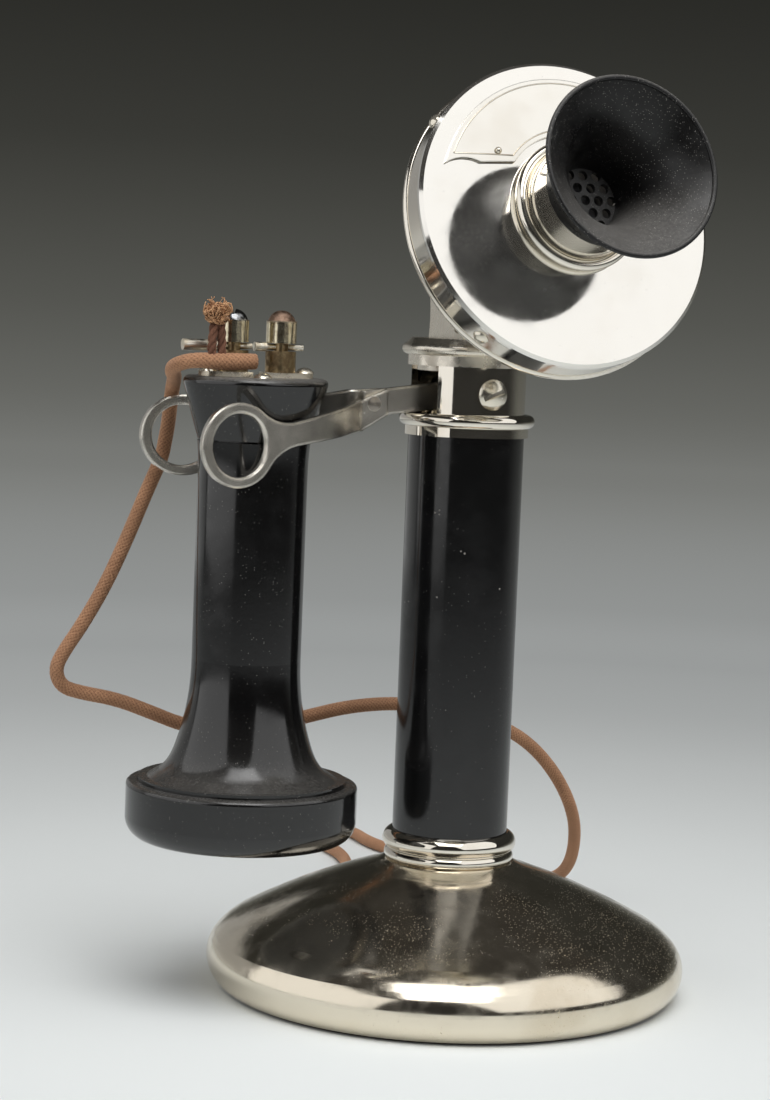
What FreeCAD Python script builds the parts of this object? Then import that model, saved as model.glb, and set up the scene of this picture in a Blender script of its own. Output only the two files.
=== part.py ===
import FreeCAD, Part
import math
import os

# Candlestick desk telephone. Millimetres, +Z up, origin on the table under the stem's axis.
# The front faces -Y and the switch hook points to -X.

V = FreeCAD.Vector
X_AXIS = V(1, 0, 0)
Y_AXIS = V(0, 1, 0)
Z_AXIS = V(0, 0, 1)

# Clearances
slip = 0.1              # radial gap where fixed pieces slide together
running = 0.05          # radial gap of a pin or screw that something turns on
side_gap = 0.3          # gap beside a piece that moves
seat = 0.2              # gap under a piece that rests on a curved seat

# Stem
stem_r = 18.0
stem_wall = 1.6
stem_bottom = 30.0
stem_top = 173.7
stem_nut_r = 21.5
stem_nut_height = 6.0

# Base: a spun shell on a steel plate and a felt pad
base_r = 74.9
base_wall = 1.5
base_rim_z = 8.9
base_rim_radius = 10.0
base_rim_turn = 40.0
base_rim_under = 54.0
base_shoulder_radius = 23.0
base_shoulder_turn = 21.5
base_slope_radius = 255.0
base_flare_radius = 30.0
base_flare_angle = 30.0
base_seat_r = 20.5
felt_height = 3.0
plate_thickness = 1.6
plate_screw_circle = 45.0
plate_screw_r = 2.0
plate_screw_head_r = 3.6
weight_inner_r = 30.0
weight_outer_r = 60.0
weight_height = 12.0
block_length = 34.0
block_width = 18.0
block_height = 9.0
terminal_r = 2.6
terminal_height = 2.2
terminal_spacing = 9.0
bushing_z = 10.5
bushing_r = 4.0
bushing_flange_r = 5.6
bushing_flange = 2.2
bushing_depth = 6.0

# Beaded collar on the base
foot_bead_r = 20.3
foot_bead_height = 3.4
base_bead_r = 20.9
base_bead_height = 6.0
bead_neck_r = 19.4

# Switch-hook collar
collar_flange_r = 19.3
collar_flange_height = 2.8
collar_bead_r = 21.1
collar_bead_height = 3.8
barrel_r = 17.9
barrel_wall = 1.8
barrel_height = 14.8
collar_spigot_length = 9.0
collar_spigot_wall = 2.8
window_width = 20.0
hook_pivot_height = 6.7      # above the barrel's foot
pivot_screw_r = 2.4
pivot_head_r = 4.7
pivot_head_height = 2.0
pivot_slot_width = 1.5
pivot_slot_tilt = 22.0

# Perch that carries the transmitter
perch_foot_r = 19.0
perch_foot_height = 3.2
perch_bead_r = 20.9
perch_bead_height = 3.4
perch_top_r = 18.0
perch_top_height = 1.7
perch_spigot = 1.6
perch_wire_hole_r = 3.0
ear_gap = 11.2
ear_thickness = 2.8
ear_foot = 12.6
ear_waist = 12.0
ear_waist_share = 0.35       # height of the waist, as a share of the pivot's height
ear_r = 14.0
tilt_height = 17.7           # tilt pivot above the perch top
tilt_screw_r = 3.0
tilt_head_r = 5.2
tilt_head_height = 2.2
tilt_nut_r = 6.0
tilt_nut_height = 4.0
perch_screw_r = 1.1
perch_screw_head_r = 1.9
perch_screw_head = 1.2
perch_screw_y = -8.6
perch_screw_z = 3.6          # above the perch top

# Transmitter, along its own axis from the tilt pivot
rest_tilt = 18.1
face_edge = 64.3
face_r = 45.9
face_rise = 5.25
face_crown = 0.5
face_edge_in = 1.0
face_edge_rise = 0.2
face_edge_drop = 0.6
face_foot_rise = 0.6
face_sheet = 1.5
face_lip = 1.7
face_skirt = 7.0
tube_bead_r = 19.5
tube_bead_height = 2.8
tube_r = 16.7
tube_wall = 2.4
tube_length = 15.0
tube_neck_r = 14.9
cup_band_r = 45.6
cup_band_wall = 1.3
cup_band = 7.4
cup_groove = 0.7
cup_bead_r = 46.3
cup_bead = 2.4
cup_wall = 1.5
cup_back = 24.0
cup_back_r = 14.0
cup_dome_r = 31.5
cup_dome = 34.0
cup_dome_inset = 1.0
lug_eye_r = 12.0
lug_waist = 10.0
lug_foot_r = 13.5
lug_foot = 3.0
lug_screw_r = 1.5
lug_screw_head_r = 2.8
lug_screw_head = 1.6
lug_screw_spacing = 16.0
rim_screw_r = 1.2
rim_screw_head_r = 2.4
rim_screw_head = 1.5
rim_screw_first = 38.0       # degrees from the top of the face
bell_r = 26.5
bell_edge = 41.1             # bell rim in front of the face edge
bell_wall = 1.6
bell_throat_r = 9.4
bell_bow = 0.3               # share of the flare reached at the outline's middle
bell_outer_bow = 0.56
bell_inner_bow = 0.62
grille_front = 12.0          # grille in front of the face edge
grille_thickness = 1.5
grille_hole_r = 1.45
grille_pitch = 4.2
badge_outer_r = 40.0
badge_inner_r = 21.8
badge_low_edge = 12.6
badge_scoop_r = 9.0
badge_scoop_x = 32.8
badge_scoop_y = 5.0
badge_thickness = 0.8
badge_pin_r = 1.0
badge_pin_shank_r = 0.7
badge_pin_height = 0.7
badge_pin_x = 22.4
badge_pin_y = 16.0
diaphragm_r = 32.0
diaphragm_thickness = 0.8
gasket_width = 4.0
gasket_thickness = 1.4
button_r = 12.0
button_height = 9.0
bridge_width = 14.0
bridge_thickness = 3.5
bridge_foot = 4.0
bridge_reach = 38.5
bridge_screw_r = 1.4
damper_width = 5.0
damper_sheet = 0.6
damper_gap = 4.2             # between the button and the springs' tips

# Hook
lever_thickness = 3.0
lever_height = 8.0
lever_droop = 7.0
hub_r = 5.4
hub_length = 29.0
cam_width = 6.0
cam_thickness = 3.2
cam_length = 22.0
stud_z = 19.0                # switch stud below the pivot
stud_r = 2.2
stud_shank_r = 1.1
arm_thickness = 2.4
arm_height = 7.0
arm_root_height = 9.0
arm_bend_r = 4.0
arm_sweep_r = 60.0
arm_start = 37.5             # where the arms leave the lever, from the pivot
arm_tab = 9.0
arm_lean = 42.0              # plan angle at which the arms leave the lever
front_arm_drop = 3.4         # the front arm leaves the lever this much lower
ring_x = -84.3
ring_y = 25.0
ring_drop = 19.1             # ring centre below the receiver's top
ring_r = 12.4
ring_hole_r = 9.3
ring_edge = 0.5              # rounding of the ring's inner edges
ring_fillet = 14.0
ring_splay = 13.0
rivet_r = 1.6
rivet_head_r = 2.2
rivet_head = 0.35

# Switch in the stem
bracket_width = 12.0
bracket_thickness = 1.6
bracket_length = 64.0
leaf_width = 6.0
leaf_sheet = 0.6
leaf_count = 3
leaf_top_gap = 3.0           # leaf tips below the collar's foot
leaf_tail = 6.0
insulator_thickness = 1.5
insulator_height = 12.0
insulator_width = 9.0
clamp_screw_r = 1.0
clamp_screw_head_r = 1.9
clamp_screw_head = 1.2
clamp_screw_spacing = 6.0
lead_r = 0.9

# Receiver, hung upright on its own axis
receiver_x = -70.15
neck_r = 16.5
neck_bore_r = 13.3
neck_low = 105.0
swell_out = (0.9, 3.7)       # growth of the neck's radius at two depths below its straight part
swell_depth = (13.0, 25.0)
shell_step = 3.5
bore_flare_out = 8.0
bore_flare_up = 2.5
bore_flare_depth = 14.0
tail_neck_length = 11.0
tail_neck_bow = 0.12
shell_foot_r = 25.3
shell_foot_z = 71.0
shell_flange_r = 31.5
shell_flange_top = 68.9
shell_chamber_r = 28.5
shell_chamber_top = 65.0
tail_seam = 171.0
tail_seam_r = 17.0
tail_rim_r = 21.7
tail_rim_z = 188.0
tail_top = 190.0
tail_wall = 4.0
tail_spigot = 8.0
tail_spigot_wall = 2.0
tail_flare_share = 0.46      # share of the flare reached at half its height
tail_flare_dip = 0.6
tail_lip = 1.4
ear_cap_r = 35.1
ear_cap_top = 67.6
ear_cap_bottom = 50.0
ear_cap_edge = 6.5
ear_cap_lip_r = 1.4
ear_cap_dish_r = 27.0
ear_cap_dish = 3.4
ear_cap_bow = 0.64           # where the dish's outline passes, as a share of its radius and depth
ear_hole_r = 6.0
ear_cap_floor = 4.4
disc_thickness = 0.8
magnet_leg = 5.0
magnet_width = 14.0
magnet_gap = 9.0
magnet_foot = 71.0
magnet_top = 160.0
magnet_yoke = 6.0
pole_thickness = 3.0
pole_width = 12.0
pole_air_gap = 0.8
coil_wall = 3.0
coil_height = 8.5
hanger_r = 3.0
hanger_nut_r = 5.5
hanger_nut = 4.0
tab_width = 8.6
tab_thickness = 1.5
tab_inner = 2.6
tab_outer = 18.0
tab_screw_x = 15.5
front_screw_x = -1.5
front_screw_y = -9.5
tab_screw_r = 1.4
tab_screw_head_r = 2.9
tab_screw_head = 1.7
tab_screw_depth = 3.0
post_spacing = 15.2
post_r = 4.6
post_height = 6.4
post_stud_r = 2.2
post_gap = 2.4
nut_height = 6.6
nut_dome = 3.2
nut_shoulder = 0.5
nut_slot = 1.2
nut_slot_angles = (60.0, -35.0)
nut_slot_depth = 1.6
tip_r = 1.7
tip_pin_r = 0.95
tip_length = 11.0
inner_tip_length = 3.6
inner_tip_r = 1.4
tip_overhang = 1.2

# Cord: braided cloth, one length from the binding posts round to the back of the base
cord_r = 2.25
cord_arc_share = 0.45
cord_straight = 6.0          # straight run out of the bushing
strand_r = 1.1
strand_top = 205.0
strand_x = (-87.4, -84.2)
tuft_foot_r = 2.4
tuft_r = 4.6
tuft_side_r = 4.0
tuft_wide_z = 209.6
tuft_top = 213.6
cord_end = (-73.5, -8.0, 194.8)
cord_split = (-86.6, 34.0, 168.5)
cord_top_route = [
    cord_end,
    (-84.0, -8.4, 194.4),
    (-92.6, -7.2, 194.9),
    (-96.0, 1.0, 192.8),
    (-92.6, 12.0, 190.4),
    (-88.0, 22.5, 189.0),
    (-85.6, 32.0, 184.0),
    (-85.9, 33.4, 174.0),
]
cord_route = [
    cord_split,
    (-87.3, 34.6, 163.0),
    (-91.2, 36.6, 152.6),
    (-95.8, 39.2, 138.6),
    (-101.8, 42.2, 122.7),
    (-108.2, 45.0, 109.8),
    (-112.8, 46.4, 102.4),
    (-115.8, 47.4, 96.2),
    (-113.6, 48.2, 90.4),
    (-107.4, 48.4, 88.2),
    (-95.6, 47.4, 86.0),
    (-84.6, 46.4, 81.8),
    (-73.8, 45.4, 77.4),
    (-61.0, 44.6, 75.2),
    (-46.6, 44.8, 76.0),
    (-31.7, 46.4, 78.8),
    (-14.3, 50.0, 81.4),
    (5.3, 54.0, 81.4),
    (25.6, 58.2, 78.2),
    (40.0, 61.2, 73.8),
    (52.2, 64.4, 68.8),
    (62.0, 67.6, 62.8),
    (70.4, 71.0, 55.6),
    (77.8, 74.8, 47.6),
    (84.0, 79.0, 39.2),
    (88.8, 84.0, 31.0),
    (92.2, 90.0, 23.0),
    (94.8, 97.0, 15.2),
    (96.4, 105.6, 8.6),
    (96.8, 115.6, 4.0),
    (95.2, 126.6, 2.4),
    (91.0, 139.0, 2.3),
    (83.4, 153.0, 2.3),
    (73.6, 165.6, 2.3),
    (65.0, 178.0, 2.3),
    (60.6, 192.0, 2.3),
    (59.8, 205.0, 2.3),
    (61.0, 217.4, 2.3),
    (57.4, 229.0, 2.3),
    (47.4, 235.4, 2.3),
    (36.8, 231.0, 2.3),
    (33.6, 219.6, 2.3),
    (37.2, 208.0, 2.3),
    (40.4, 196.0, 2.3),
    (40.0, 183.0, 2.3),
    (37.2, 170.0, 2.3),
    (32.4, 157.6, 2.3),
    (25.0, 142.0, 2.3),
    (16.4, 127.4, 2.6),
    (8.4, 114.4, 3.8),
    (2.8, 102.0, 6.2),
    (0.6, 91.0, 8.8),
]

# Heights and places that follow from the sizes
arc_share = 1 - math.sqrt(0.5)    # how far a quarter round's middle lies in from its corner
neck_angle = 90 - base_rim_turn - base_shoulder_turn
collar_foot = stem_top
barrel_foot = collar_foot + collar_flange_height + collar_bead_height
barrel_top = barrel_foot + barrel_height
hook_z = barrel_foot + hook_pivot_height
perch_top = barrel_top + perch_foot_height + perch_bead_height + perch_top_height
tilt_z = perch_top + tilt_height
plate_z = felt_height
plate_top = plate_z + plate_thickness
stem_bore = stem_r - stem_wall
spigot_r = stem_bore - slip
spigot_bore = spigot_r - collar_spigot_wall
tip_z = tail_top + tab_thickness + post_height + post_gap / 2
nut_z = tail_top + tab_thickness + post_height + post_gap
chamber_floor = ear_cap_bottom + ear_cap_dish + ear_cap_floor
shell_bottom = chamber_floor + disc_thickness + slip
ring_z = tail_top - ring_drop
lever_root_z = hook_z - arm_start * math.tan(math.radians(lever_droop))
ear_outer_x = ear_gap / 2 + ear_thickness


def on_xz(u, v):
    return V(u, 0, v)


def on_yz(u, v):
    return V(0, u, v)


def on_xy(u, v):
    return V(u, v, 0)


def edges_through(place, start, steps):
    """Edges from a start point: a step is a point, or a (middle, end) pair for an arc."""
    edges = []
    here = place(*start)
    for step in steps:
        if isinstance(step[0], tuple):
            middle = place(*step[0])
            there = place(*step[1])
            edges.append(Part.Arc(here, middle, there).toShape())
        else:
            there = place(*step)
            edges.append(Part.LineSegment(here, there).toShape())
        here = there
    return edges


def face_of(place, start, *steps):
    """Plane face inside a closed outline; the last point is joined to the first."""
    last = steps[-1][1] if isinstance(steps[-1][0], tuple) else steps[-1]
    closed = (place(*last) - place(*start)).Length < 1e-6
    all_steps = list(steps) if closed else list(steps) + [start]
    return Part.Face(Part.Wire(edges_through(place, start, all_steps)))


def lathe(start, *steps):
    """Solid turned about the Z axis from an outline of (radius, height) points."""
    return face_of(on_xz, start, *steps).revolve(V(0, 0, 0), Z_AXIS, 360)


def ring(outer, inner, low, high):
    tube = Part.makeCylinder(outer, high - low, V(0, 0, low))
    return tube.cut(Part.makeCylinder(inner, high - low, V(0, 0, low)))


def box(x0, x1, y0, y1, z0, z1):
    return Part.makeBox(x1 - x0, y1 - y0, z1 - z0, V(x0, y0, z0))


def rod(radius, start, end):
    """Round bar between two points."""
    direction = end - start
    return Part.makeCylinder(radius, direction.Length, start, direction)


def dome_step(radius, foot, height):
    """Arc step of a spherical dome, from its edge at a radius up to the axis."""
    ball = (radius ** 2 + height ** 2) / (2 * height)
    centre = foot + height - ball
    half_angle = math.atan2(radius, foot - centre) / 2
    return ((ball * math.sin(half_angle), centre + ball * math.cos(half_angle)), (0, foot + height))


def dome_screw(head_r, head, shank_r, length, slot=0.0):
    """Round-head screw along Z, with the underside of its head at z = 0."""
    cap = lathe((0, 0), (head_r, 0), dome_step(head_r, 0, head))
    screw = cap.fuse(Part.makeCylinder(shank_r, length, V(0, 0, -length)))
    if slot:
        half = slot / 2
        screw = screw.cut(box(-head_r, head_r, -half, half, head * 0.45, head * 2))
    return screw


def placed(shape, position, axis=Z_AXIS, spin=0.0):
    """Copy of a shape with its Z axis along an axis, moved to a position."""
    copy = shape.copy()
    turn = FreeCAD.Rotation(Z_AXIS, axis)
    roll = FreeCAD.Rotation(Z_AXIS, spin)
    copy.Placement = FreeCAD.Placement(position, turn.multiply(roll)).multiply(copy.Placement)
    return copy


def polar(radius, degrees, z=0.0):
    angle = math.radians(degrees)
    return V(radius * math.cos(angle), radius * math.sin(angle), z)


def arc_chain(start, heading, moves):
    """Tangent arcs from a point: each move is a radius and a turn in degrees, left positive."""
    steps = []
    u, v = start
    angle = math.radians(heading)
    for radius, turn in moves:
        side = 1 if turn > 0 else -1
        centre_u = u - side * radius * math.sin(angle)
        centre_v = v + side * radius * math.cos(angle)
        ends = []
        for share in (0.5, 1.0):
            a = angle + math.radians(turn) * share
            ends.append((centre_u + side * radius * math.sin(a), centre_v - side * radius * math.cos(a)))
        steps.append((ends[0], ends[1]))
        u, v = ends[1]
        angle += math.radians(turn)
    return steps


def reversed_steps(start, steps):
    """The same arcs walked back from their end to the start."""
    ends = [start] + [step[1] for step in steps]
    back = []
    for index in range(len(steps) - 1, -1, -1):
        back.append((steps[index][0], ends[index]))
    return back


def shifted_arc(points, distance):
    """Three points of an arc moved outward from its centre by a distance."""
    circle = Part.Arc(*[on_xz(*p) for p in points]).toShape().Curve
    centre = circle.Center
    moved = []
    for p in points:
        ray = on_xz(*p) - centre
        q = centre + ray * ((ray.Length + distance) / ray.Length)
        moved.append((q.x, q.z))
    return moved


def bent_path(points, radii):
    """Wire of straight runs joined by tangent arcs, one radius for each inner point."""
    edges = []
    here = points[0]
    for index in range(1, len(points) - 1):
        corner = points[index]
        back = (points[index - 1] - corner).normalize()
        ahead = (points[index + 1] - corner).normalize()
        half = back.getAngle(ahead) / 2
        reach = radii[index - 1] / math.tan(half)
        entry = corner + back * reach
        leave = corner + ahead * reach
        bisector = (back + ahead).normalize()
        middle = corner + bisector * (radii[index - 1] / math.sin(half) - radii[index - 1])
        edges.append(Part.LineSegment(here, entry).toShape())
        edges.append(Part.Arc(entry, middle, leave).toShape())
        here = leave
    edges.append(Part.LineSegment(here, points[-1]).toShape())
    return Part.Wire(edges)


def bent_strip(points, radii, thickness, low, high):
    """Upright strip that follows a bent line on the XY plane."""
    half = thickness / 2
    sides = []
    for side in (1, -1):
        shifted = []
        bend_radii = []
        for index, point in enumerate(points):
            before = points[max(index - 1, 0)]
            after = points[min(index + 1, len(points) - 1)]
            first = (point - before) if index > 0 else (after - point)
            second = (after - point) if index < len(points) - 1 else first
            first = V(first).normalize()
            second = V(second).normalize()
            normal = (Z_AXIS.cross(first) + Z_AXIS.cross(second)).normalize()
            stretch = normal.dot(Z_AXIS.cross(first))
            shifted.append(point + normal * (side * half / stretch))
            if 0 < index < len(points) - 1:
                left_turn = first.cross(second).z > 0
                inside = (side > 0) == left_turn
                bend_radii.append(radii[index - 1] + (-half if inside else half))
        sides.append(bent_path(shifted, bend_radii))
    left, right = sides
    caps = []
    for end in (0, -1):
        pair = [w.OrderedVertexes[end].Point for w in (left, right)]
        caps.append(Part.LineSegment(pair[0], pair[1]).toShape())
    outline = Part.Wire(Part.__sortEdges__(left.Edges + right.Edges + caps))
    strip = Part.Face(outline).extrude(V(0, 0, high - low))
    strip.translate(V(0, 0, low))
    return strip


def tube_along(points, radius, name):
    """Round tube along a cord's route; prints its length, least radius and volume match."""
    route = [V(*p) for p in points]
    radii = []
    for index in range(1, len(route) - 1):
        back = route[index - 1] - route[index]
        ahead = route[index + 1] - route[index]
        half_turn = (math.pi - back.getAngle(ahead)) / 2
        radii.append(cord_arc_share * min(back.Length, ahead.Length) / math.tan(half_turn))
    path = bent_path(route, radii)
    start = (route[1] - route[0]).normalize()
    section = Part.Wire(Part.Circle(route[0], start, radius).toShape())
    tube = path.makePipeShell([section], True, False)
    match = tube.Volume / (math.pi * radius ** 2 * path.Length)
    print(name, "length %.0f mm, volume match %.4f" % (path.Length, match))
    print(name, "bend radii", " ".join("%.0f" % r for r in radii))
    return tube


# Stand

def base_angles():
    """Tangent angle where the slope meets the flare, so that the flare ends on the collar's seat."""
    under = math.radians(90 - base_rim_turn)
    shoulder_end = math.radians(neck_angle)
    rim_in = base_rim_radius * (1 - math.sin(under))
    shoulder_in = base_shoulder_radius * (math.sin(under) - math.sin(shoulder_end))
    slope_start = base_r - rim_in - shoulder_in
    steep = math.sin(math.radians(base_flare_angle))
    left = math.sin(shoulder_end) - (slope_start - base_seat_r - base_flare_radius * steep) / base_slope_radius
    return math.degrees(math.asin(left / (1 + base_flare_radius / base_slope_radius)))


def base_moves(inset):
    slope_end = base_angles()
    return [
        (base_rim_radius - inset, base_rim_turn),
        (base_shoulder_radius - inset, base_shoulder_turn),
        (base_slope_radius - inset, neck_angle - slope_end),
        (base_flare_radius + inset, slope_end - base_flare_angle),
    ]


def base_profile(inset):
    """Start, steps up to the seat and step under the rim, for the shell's skin or its inside."""
    start = (base_r - inset, base_rim_z)
    up = arc_chain(start, 90, base_moves(inset))
    under = arc_chain(start, -90, [(base_rim_radius - inset, -base_rim_under)])
    return start, up, under


def base_seat_z():
    return base_profile(0)[1][-1][1][1]


def base_shell():
    start, up, under = base_profile(0)
    in_start, in_up, in_under = base_profile(base_wall)
    seat_r, seat_z = up[-1][1]
    inner_seat_z = in_up[-1][1][1]
    hole = stem_r + slip
    steps = reversed_steps(start, under) + up
    steps += [(hole, seat_z), (hole, inner_seat_z), in_up[-1][1]]
    steps += reversed_steps(in_start, in_up) + in_under
    shell = lathe(under[-1][1], *steps)
    drill = Part.makeCylinder(bushing_r + slip, base_r, V(0, 0, bushing_z), Y_AXIS)
    return shell.cut(drill)


def felt_pad():
    opening = base_profile(base_wall)[2][-1][1][0]
    return Part.makeCylinder(opening - side_gap, felt_height)


def plate_r():
    """Radius that just fits the curled rim at the plate's underside."""
    bend = base_rim_radius - base_wall
    drop = base_rim_z - plate_z
    return base_r - base_rim_radius + math.sqrt(bend ** 2 - drop ** 2) - slip


def plate_screw_places():
    return [polar(plate_screw_circle, 45 + 90 * k, plate_top) for k in range(4)]


def base_plate():
    plate = Part.makeCylinder(plate_r(), plate_thickness, V(0, 0, plate_z))
    for place in plate_screw_places():
        plate = plate.cut(rod(plate_screw_r + slip, V(place.x, place.y, plate_z), place))
    return plate


def base_weight():
    weight = ring(weight_outer_r, weight_inner_r, plate_top, plate_top + weight_height)
    for place in plate_screw_places():
        weight = weight.cut(rod(plate_screw_r + slip, place, place + V(0, 0, weight_height)))
    return weight


def base_plate_screws():
    """Screws down through the weight and the plate, with their heads on the weight."""
    shapes = []
    length = weight_height + plate_thickness
    for place in plate_screw_places():
        screw = dome_screw(plate_screw_head_r, plate_screw_head_r / 2, plate_screw_r, length)
        shapes.append(placed(screw, place + V(0, 0, weight_height)))
    return Part.makeCompound(shapes)


def terminal_places():
    top = plate_top + block_height
    return [V(terminal_spacing * k, 0, top) for k in (-1, 0, 1)]


def terminal_block():
    half_x = block_length / 2
    half_y = block_width / 2
    block = box(-half_x, half_x, -half_y, half_y, plate_top, plate_top + block_height)
    for place in terminal_places():
        block = block.cut(rod(terminal_r / 2 + slip, place, place - V(0, 0, block_height / 2)))
    return block


def terminal_screws():
    screw = dome_screw(terminal_r, terminal_height, terminal_r / 2, block_height / 2)
    return Part.makeCompound([placed(screw, place) for place in terminal_places()])


def cord_bushing():
    """Plain bushing in the back of the base, with its flange outside the wall."""
    outside = base_r + seat
    flange = Part.makeCylinder(bushing_flange_r, bushing_flange, V(0, outside, bushing_z), Y_AXIS)
    body = Part.makeCylinder(bushing_r, bushing_depth, V(0, outside - bushing_depth, bushing_z), Y_AXIS)
    return flange.fuse(body).removeSplitter()


def base_collar():
    foot = base_seat_z()
    bore = stem_r + slip
    waist = foot + foot_bead_height
    top = waist + base_bead_height
    foot_mid = (foot_bead_r, foot + foot_bead_height / 2)
    bead_mid = (base_bead_r, waist + base_bead_height / 2)
    return lathe(
        (bore, foot), (bead_neck_r, foot),
        (foot_mid, (bead_neck_r, waist)),
        (bead_mid, (stem_r + slip * 4, top)),
        (bore, top),
    )


def stem_nut():
    inner_r, inner_z = base_profile(base_wall)[1][-1][1]
    top = inner_z - (stem_nut_r - inner_r) * math.tan(math.radians(base_flare_angle)) - seat
    return ring(stem_nut_r, stem_r + slip, top - stem_nut_height, top)


def stem_tube():
    return ring(stem_r, stem_bore, stem_bottom, stem_top)


def hook_collar():
    """Flange, bead and windowed barrel that the hook turns in, with a spigot down into the stem."""
    flange_top = collar_foot + collar_flange_height
    bead_mid = (collar_bead_r, (flange_top + barrel_foot) / 2)
    bore = barrel_r - barrel_wall
    body = lathe(
        (spigot_bore, collar_foot - collar_spigot_length), (spigot_r, collar_foot - collar_spigot_length),
        (spigot_r, collar_foot), (collar_flange_r, collar_foot), (collar_flange_r, flange_top),
        (bead_mid, (barrel_r, barrel_foot)),
        (barrel_r, barrel_top), (bore, barrel_top), (bore, barrel_foot - collar_bead_height / 2),
        (spigot_bore, collar_foot),
    )
    half = window_width / 2
    body = body.cut(box(-collar_bead_r, 0, -half, half, barrel_foot, barrel_top))
    hole = Part.makeCylinder(pivot_screw_r + running, 2 * collar_bead_r, V(0, -collar_bead_r, hook_z), Y_AXIS)
    return body.cut(hole)


def hook_pivot_screw():
    """Slotted screw through the barrel from the front; the hook's hub turns on its shank."""
    head_seat = barrel_r + seat
    length = head_seat + barrel_r
    screw = dome_screw(pivot_head_r, pivot_head_height, pivot_screw_r, length, pivot_slot_width)
    return placed(screw, V(0, -head_seat, hook_z), V(0, -1, 0), pivot_slot_tilt)


def ear_outline():
    start = (-ear_foot, perch_top)
    waist_z = perch_top + tilt_height * ear_waist_share
    return face_of(
        on_yz, start,
        ((-ear_waist, waist_z), (-ear_r, tilt_z)),
        ((0, tilt_z + ear_r), (ear_r, tilt_z)),
        ((ear_waist, waist_z), (ear_foot, perch_top)),
    )


def transmitter_perch():
    """Turned cap on the collar with two ears for the transmitter's lug."""
    foot_top = barrel_top + perch_foot_height
    bead_top = foot_top + perch_bead_height
    bead_mid = (perch_bead_r, (foot_top + bead_top) / 2)
    spigot = barrel_r - barrel_wall - slip
    cap = lathe(
        (perch_wire_hole_r, barrel_top), (spigot - collar_spigot_wall, barrel_top),
        (spigot - collar_spigot_wall, barrel_top - perch_spigot), (spigot, barrel_top - perch_spigot),
        (spigot, barrel_top), (perch_foot_r, barrel_top), (perch_foot_r, foot_top),
        (bead_mid, (perch_top_r + perch_top_height, bead_top)), (perch_top_r, perch_top),
        (perch_wire_hole_r, perch_top),
    )
    for x in (-ear_outer_x, ear_gap / 2):
        ear = ear_outline().extrude(V(ear_thickness, 0, 0))
        ear.translate(V(x, 0, 0))
        cap = cap.fuse(ear)
    pivot = Part.makeCylinder(tilt_screw_r + running, 4 * ear_outer_x, V(-2 * ear_outer_x, 0, tilt_z), X_AXIS)
    screw_line = V(-2 * ear_outer_x, perch_screw_y, perch_top + perch_screw_z)
    small = Part.makeCylinder(perch_screw_r + slip, 4 * ear_outer_x, screw_line, X_AXIS)
    return cap.cut(pivot).cut(small).removeSplitter()


def perch_screws():
    screw = dome_screw(perch_screw_head_r, perch_screw_head, perch_screw_r, ear_thickness)
    shapes = []
    for side in (-1, 1):
        place = V(side * ear_outer_x, perch_screw_y, perch_top + perch_screw_z)
        shapes.append(placed(screw, place, V(side, 0, 0)))
    return Part.makeCompound(shapes)


def tilt_screw():
    length = 2 * ear_outer_x + tilt_nut_height
    screw = dome_screw(tilt_head_r, tilt_head_height, tilt_screw_r, length)
    return placed(screw, V(-ear_outer_x, 0, tilt_z), V(-1, 0, 0))


def tilt_nut():
    nut = ring(tilt_nut_r, tilt_screw_r + slip, 0, tilt_nut_height)
    return placed(nut, V(ear_outer_x, 0, tilt_z), X_AXIS)


def bracket_face():
    """X of the bracket's inner face: its edges lie against the collar's spigot."""
    outer = math.sqrt((spigot_bore - slip) ** 2 - (bracket_width / 2) ** 2)
    return outer - bracket_thickness


def leaf_faces():
    """X of each leaf's outer face, counted inward from the bracket."""
    step = insulator_thickness + leaf_sheet
    return [bracket_face() - insulator_thickness - step * k for k in range(leaf_count)]


def clamp_middle():
    return collar_foot - bracket_length + insulator_height / 2


def switch_bracket():
    half = bracket_width / 2
    inner = bracket_face()
    plate = box(inner, inner + bracket_thickness, -half, half, collar_foot - bracket_length, collar_foot)
    return plate.cut(clamp_holes())


def clamp_places():
    half = clamp_screw_spacing / 2
    return [clamp_middle() - half, clamp_middle() + half]


def clamp_holes():
    holes = [Part.makeCylinder(clamp_screw_r + slip, stem_r, V(0, 0, z), X_AXIS) for z in clamp_places()]
    return Part.makeCompound(holes)


def clamp_front():
    return leaf_faces()[-1] - leaf_sheet - insulator_thickness


def switch_springs():
    half = leaf_width / 2
    low = clamp_middle() - insulator_height / 2 - leaf_tail
    high = collar_foot - leaf_top_gap
    leaves = [box(x - leaf_sheet, x, -half, half, low, high) for x in leaf_faces()]
    return Part.makeCompound([leaf.cut(clamp_holes()) for leaf in leaves])


def switch_insulators():
    half = insulator_width / 2
    low = clamp_middle() - insulator_height / 2
    faces = [bracket_face()] + [x - leaf_sheet for x in leaf_faces()]
    blocks = [box(x - insulator_thickness, x, -half, half, low, low + insulator_height) for x in faces]
    return Part.makeCompound([block.cut(clamp_holes()) for block in blocks])


def switch_screws():
    length = bracket_face() + bracket_thickness - clamp_front()
    screw = dome_screw(clamp_screw_head_r, clamp_screw_head, clamp_screw_r, length)
    return Part.makeCompound([placed(screw, V(clamp_front(), 0, z), V(-1, 0, 0)) for z in clamp_places()])


def stem_leads():
    """Three straight leads from the terminals up to the tails of the switch springs."""
    low = clamp_middle() - insulator_height / 2 - leaf_tail
    shapes = []
    for place, x in zip(terminal_places(), reversed(leaf_faces())):
        start = place + V(0, 0, terminal_height + slip)
        shapes.append(rod(lead_r, start, V(x - leaf_sheet / 2, 0, low - slip)))
    return Part.makeCompound(shapes)


# Hook

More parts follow.
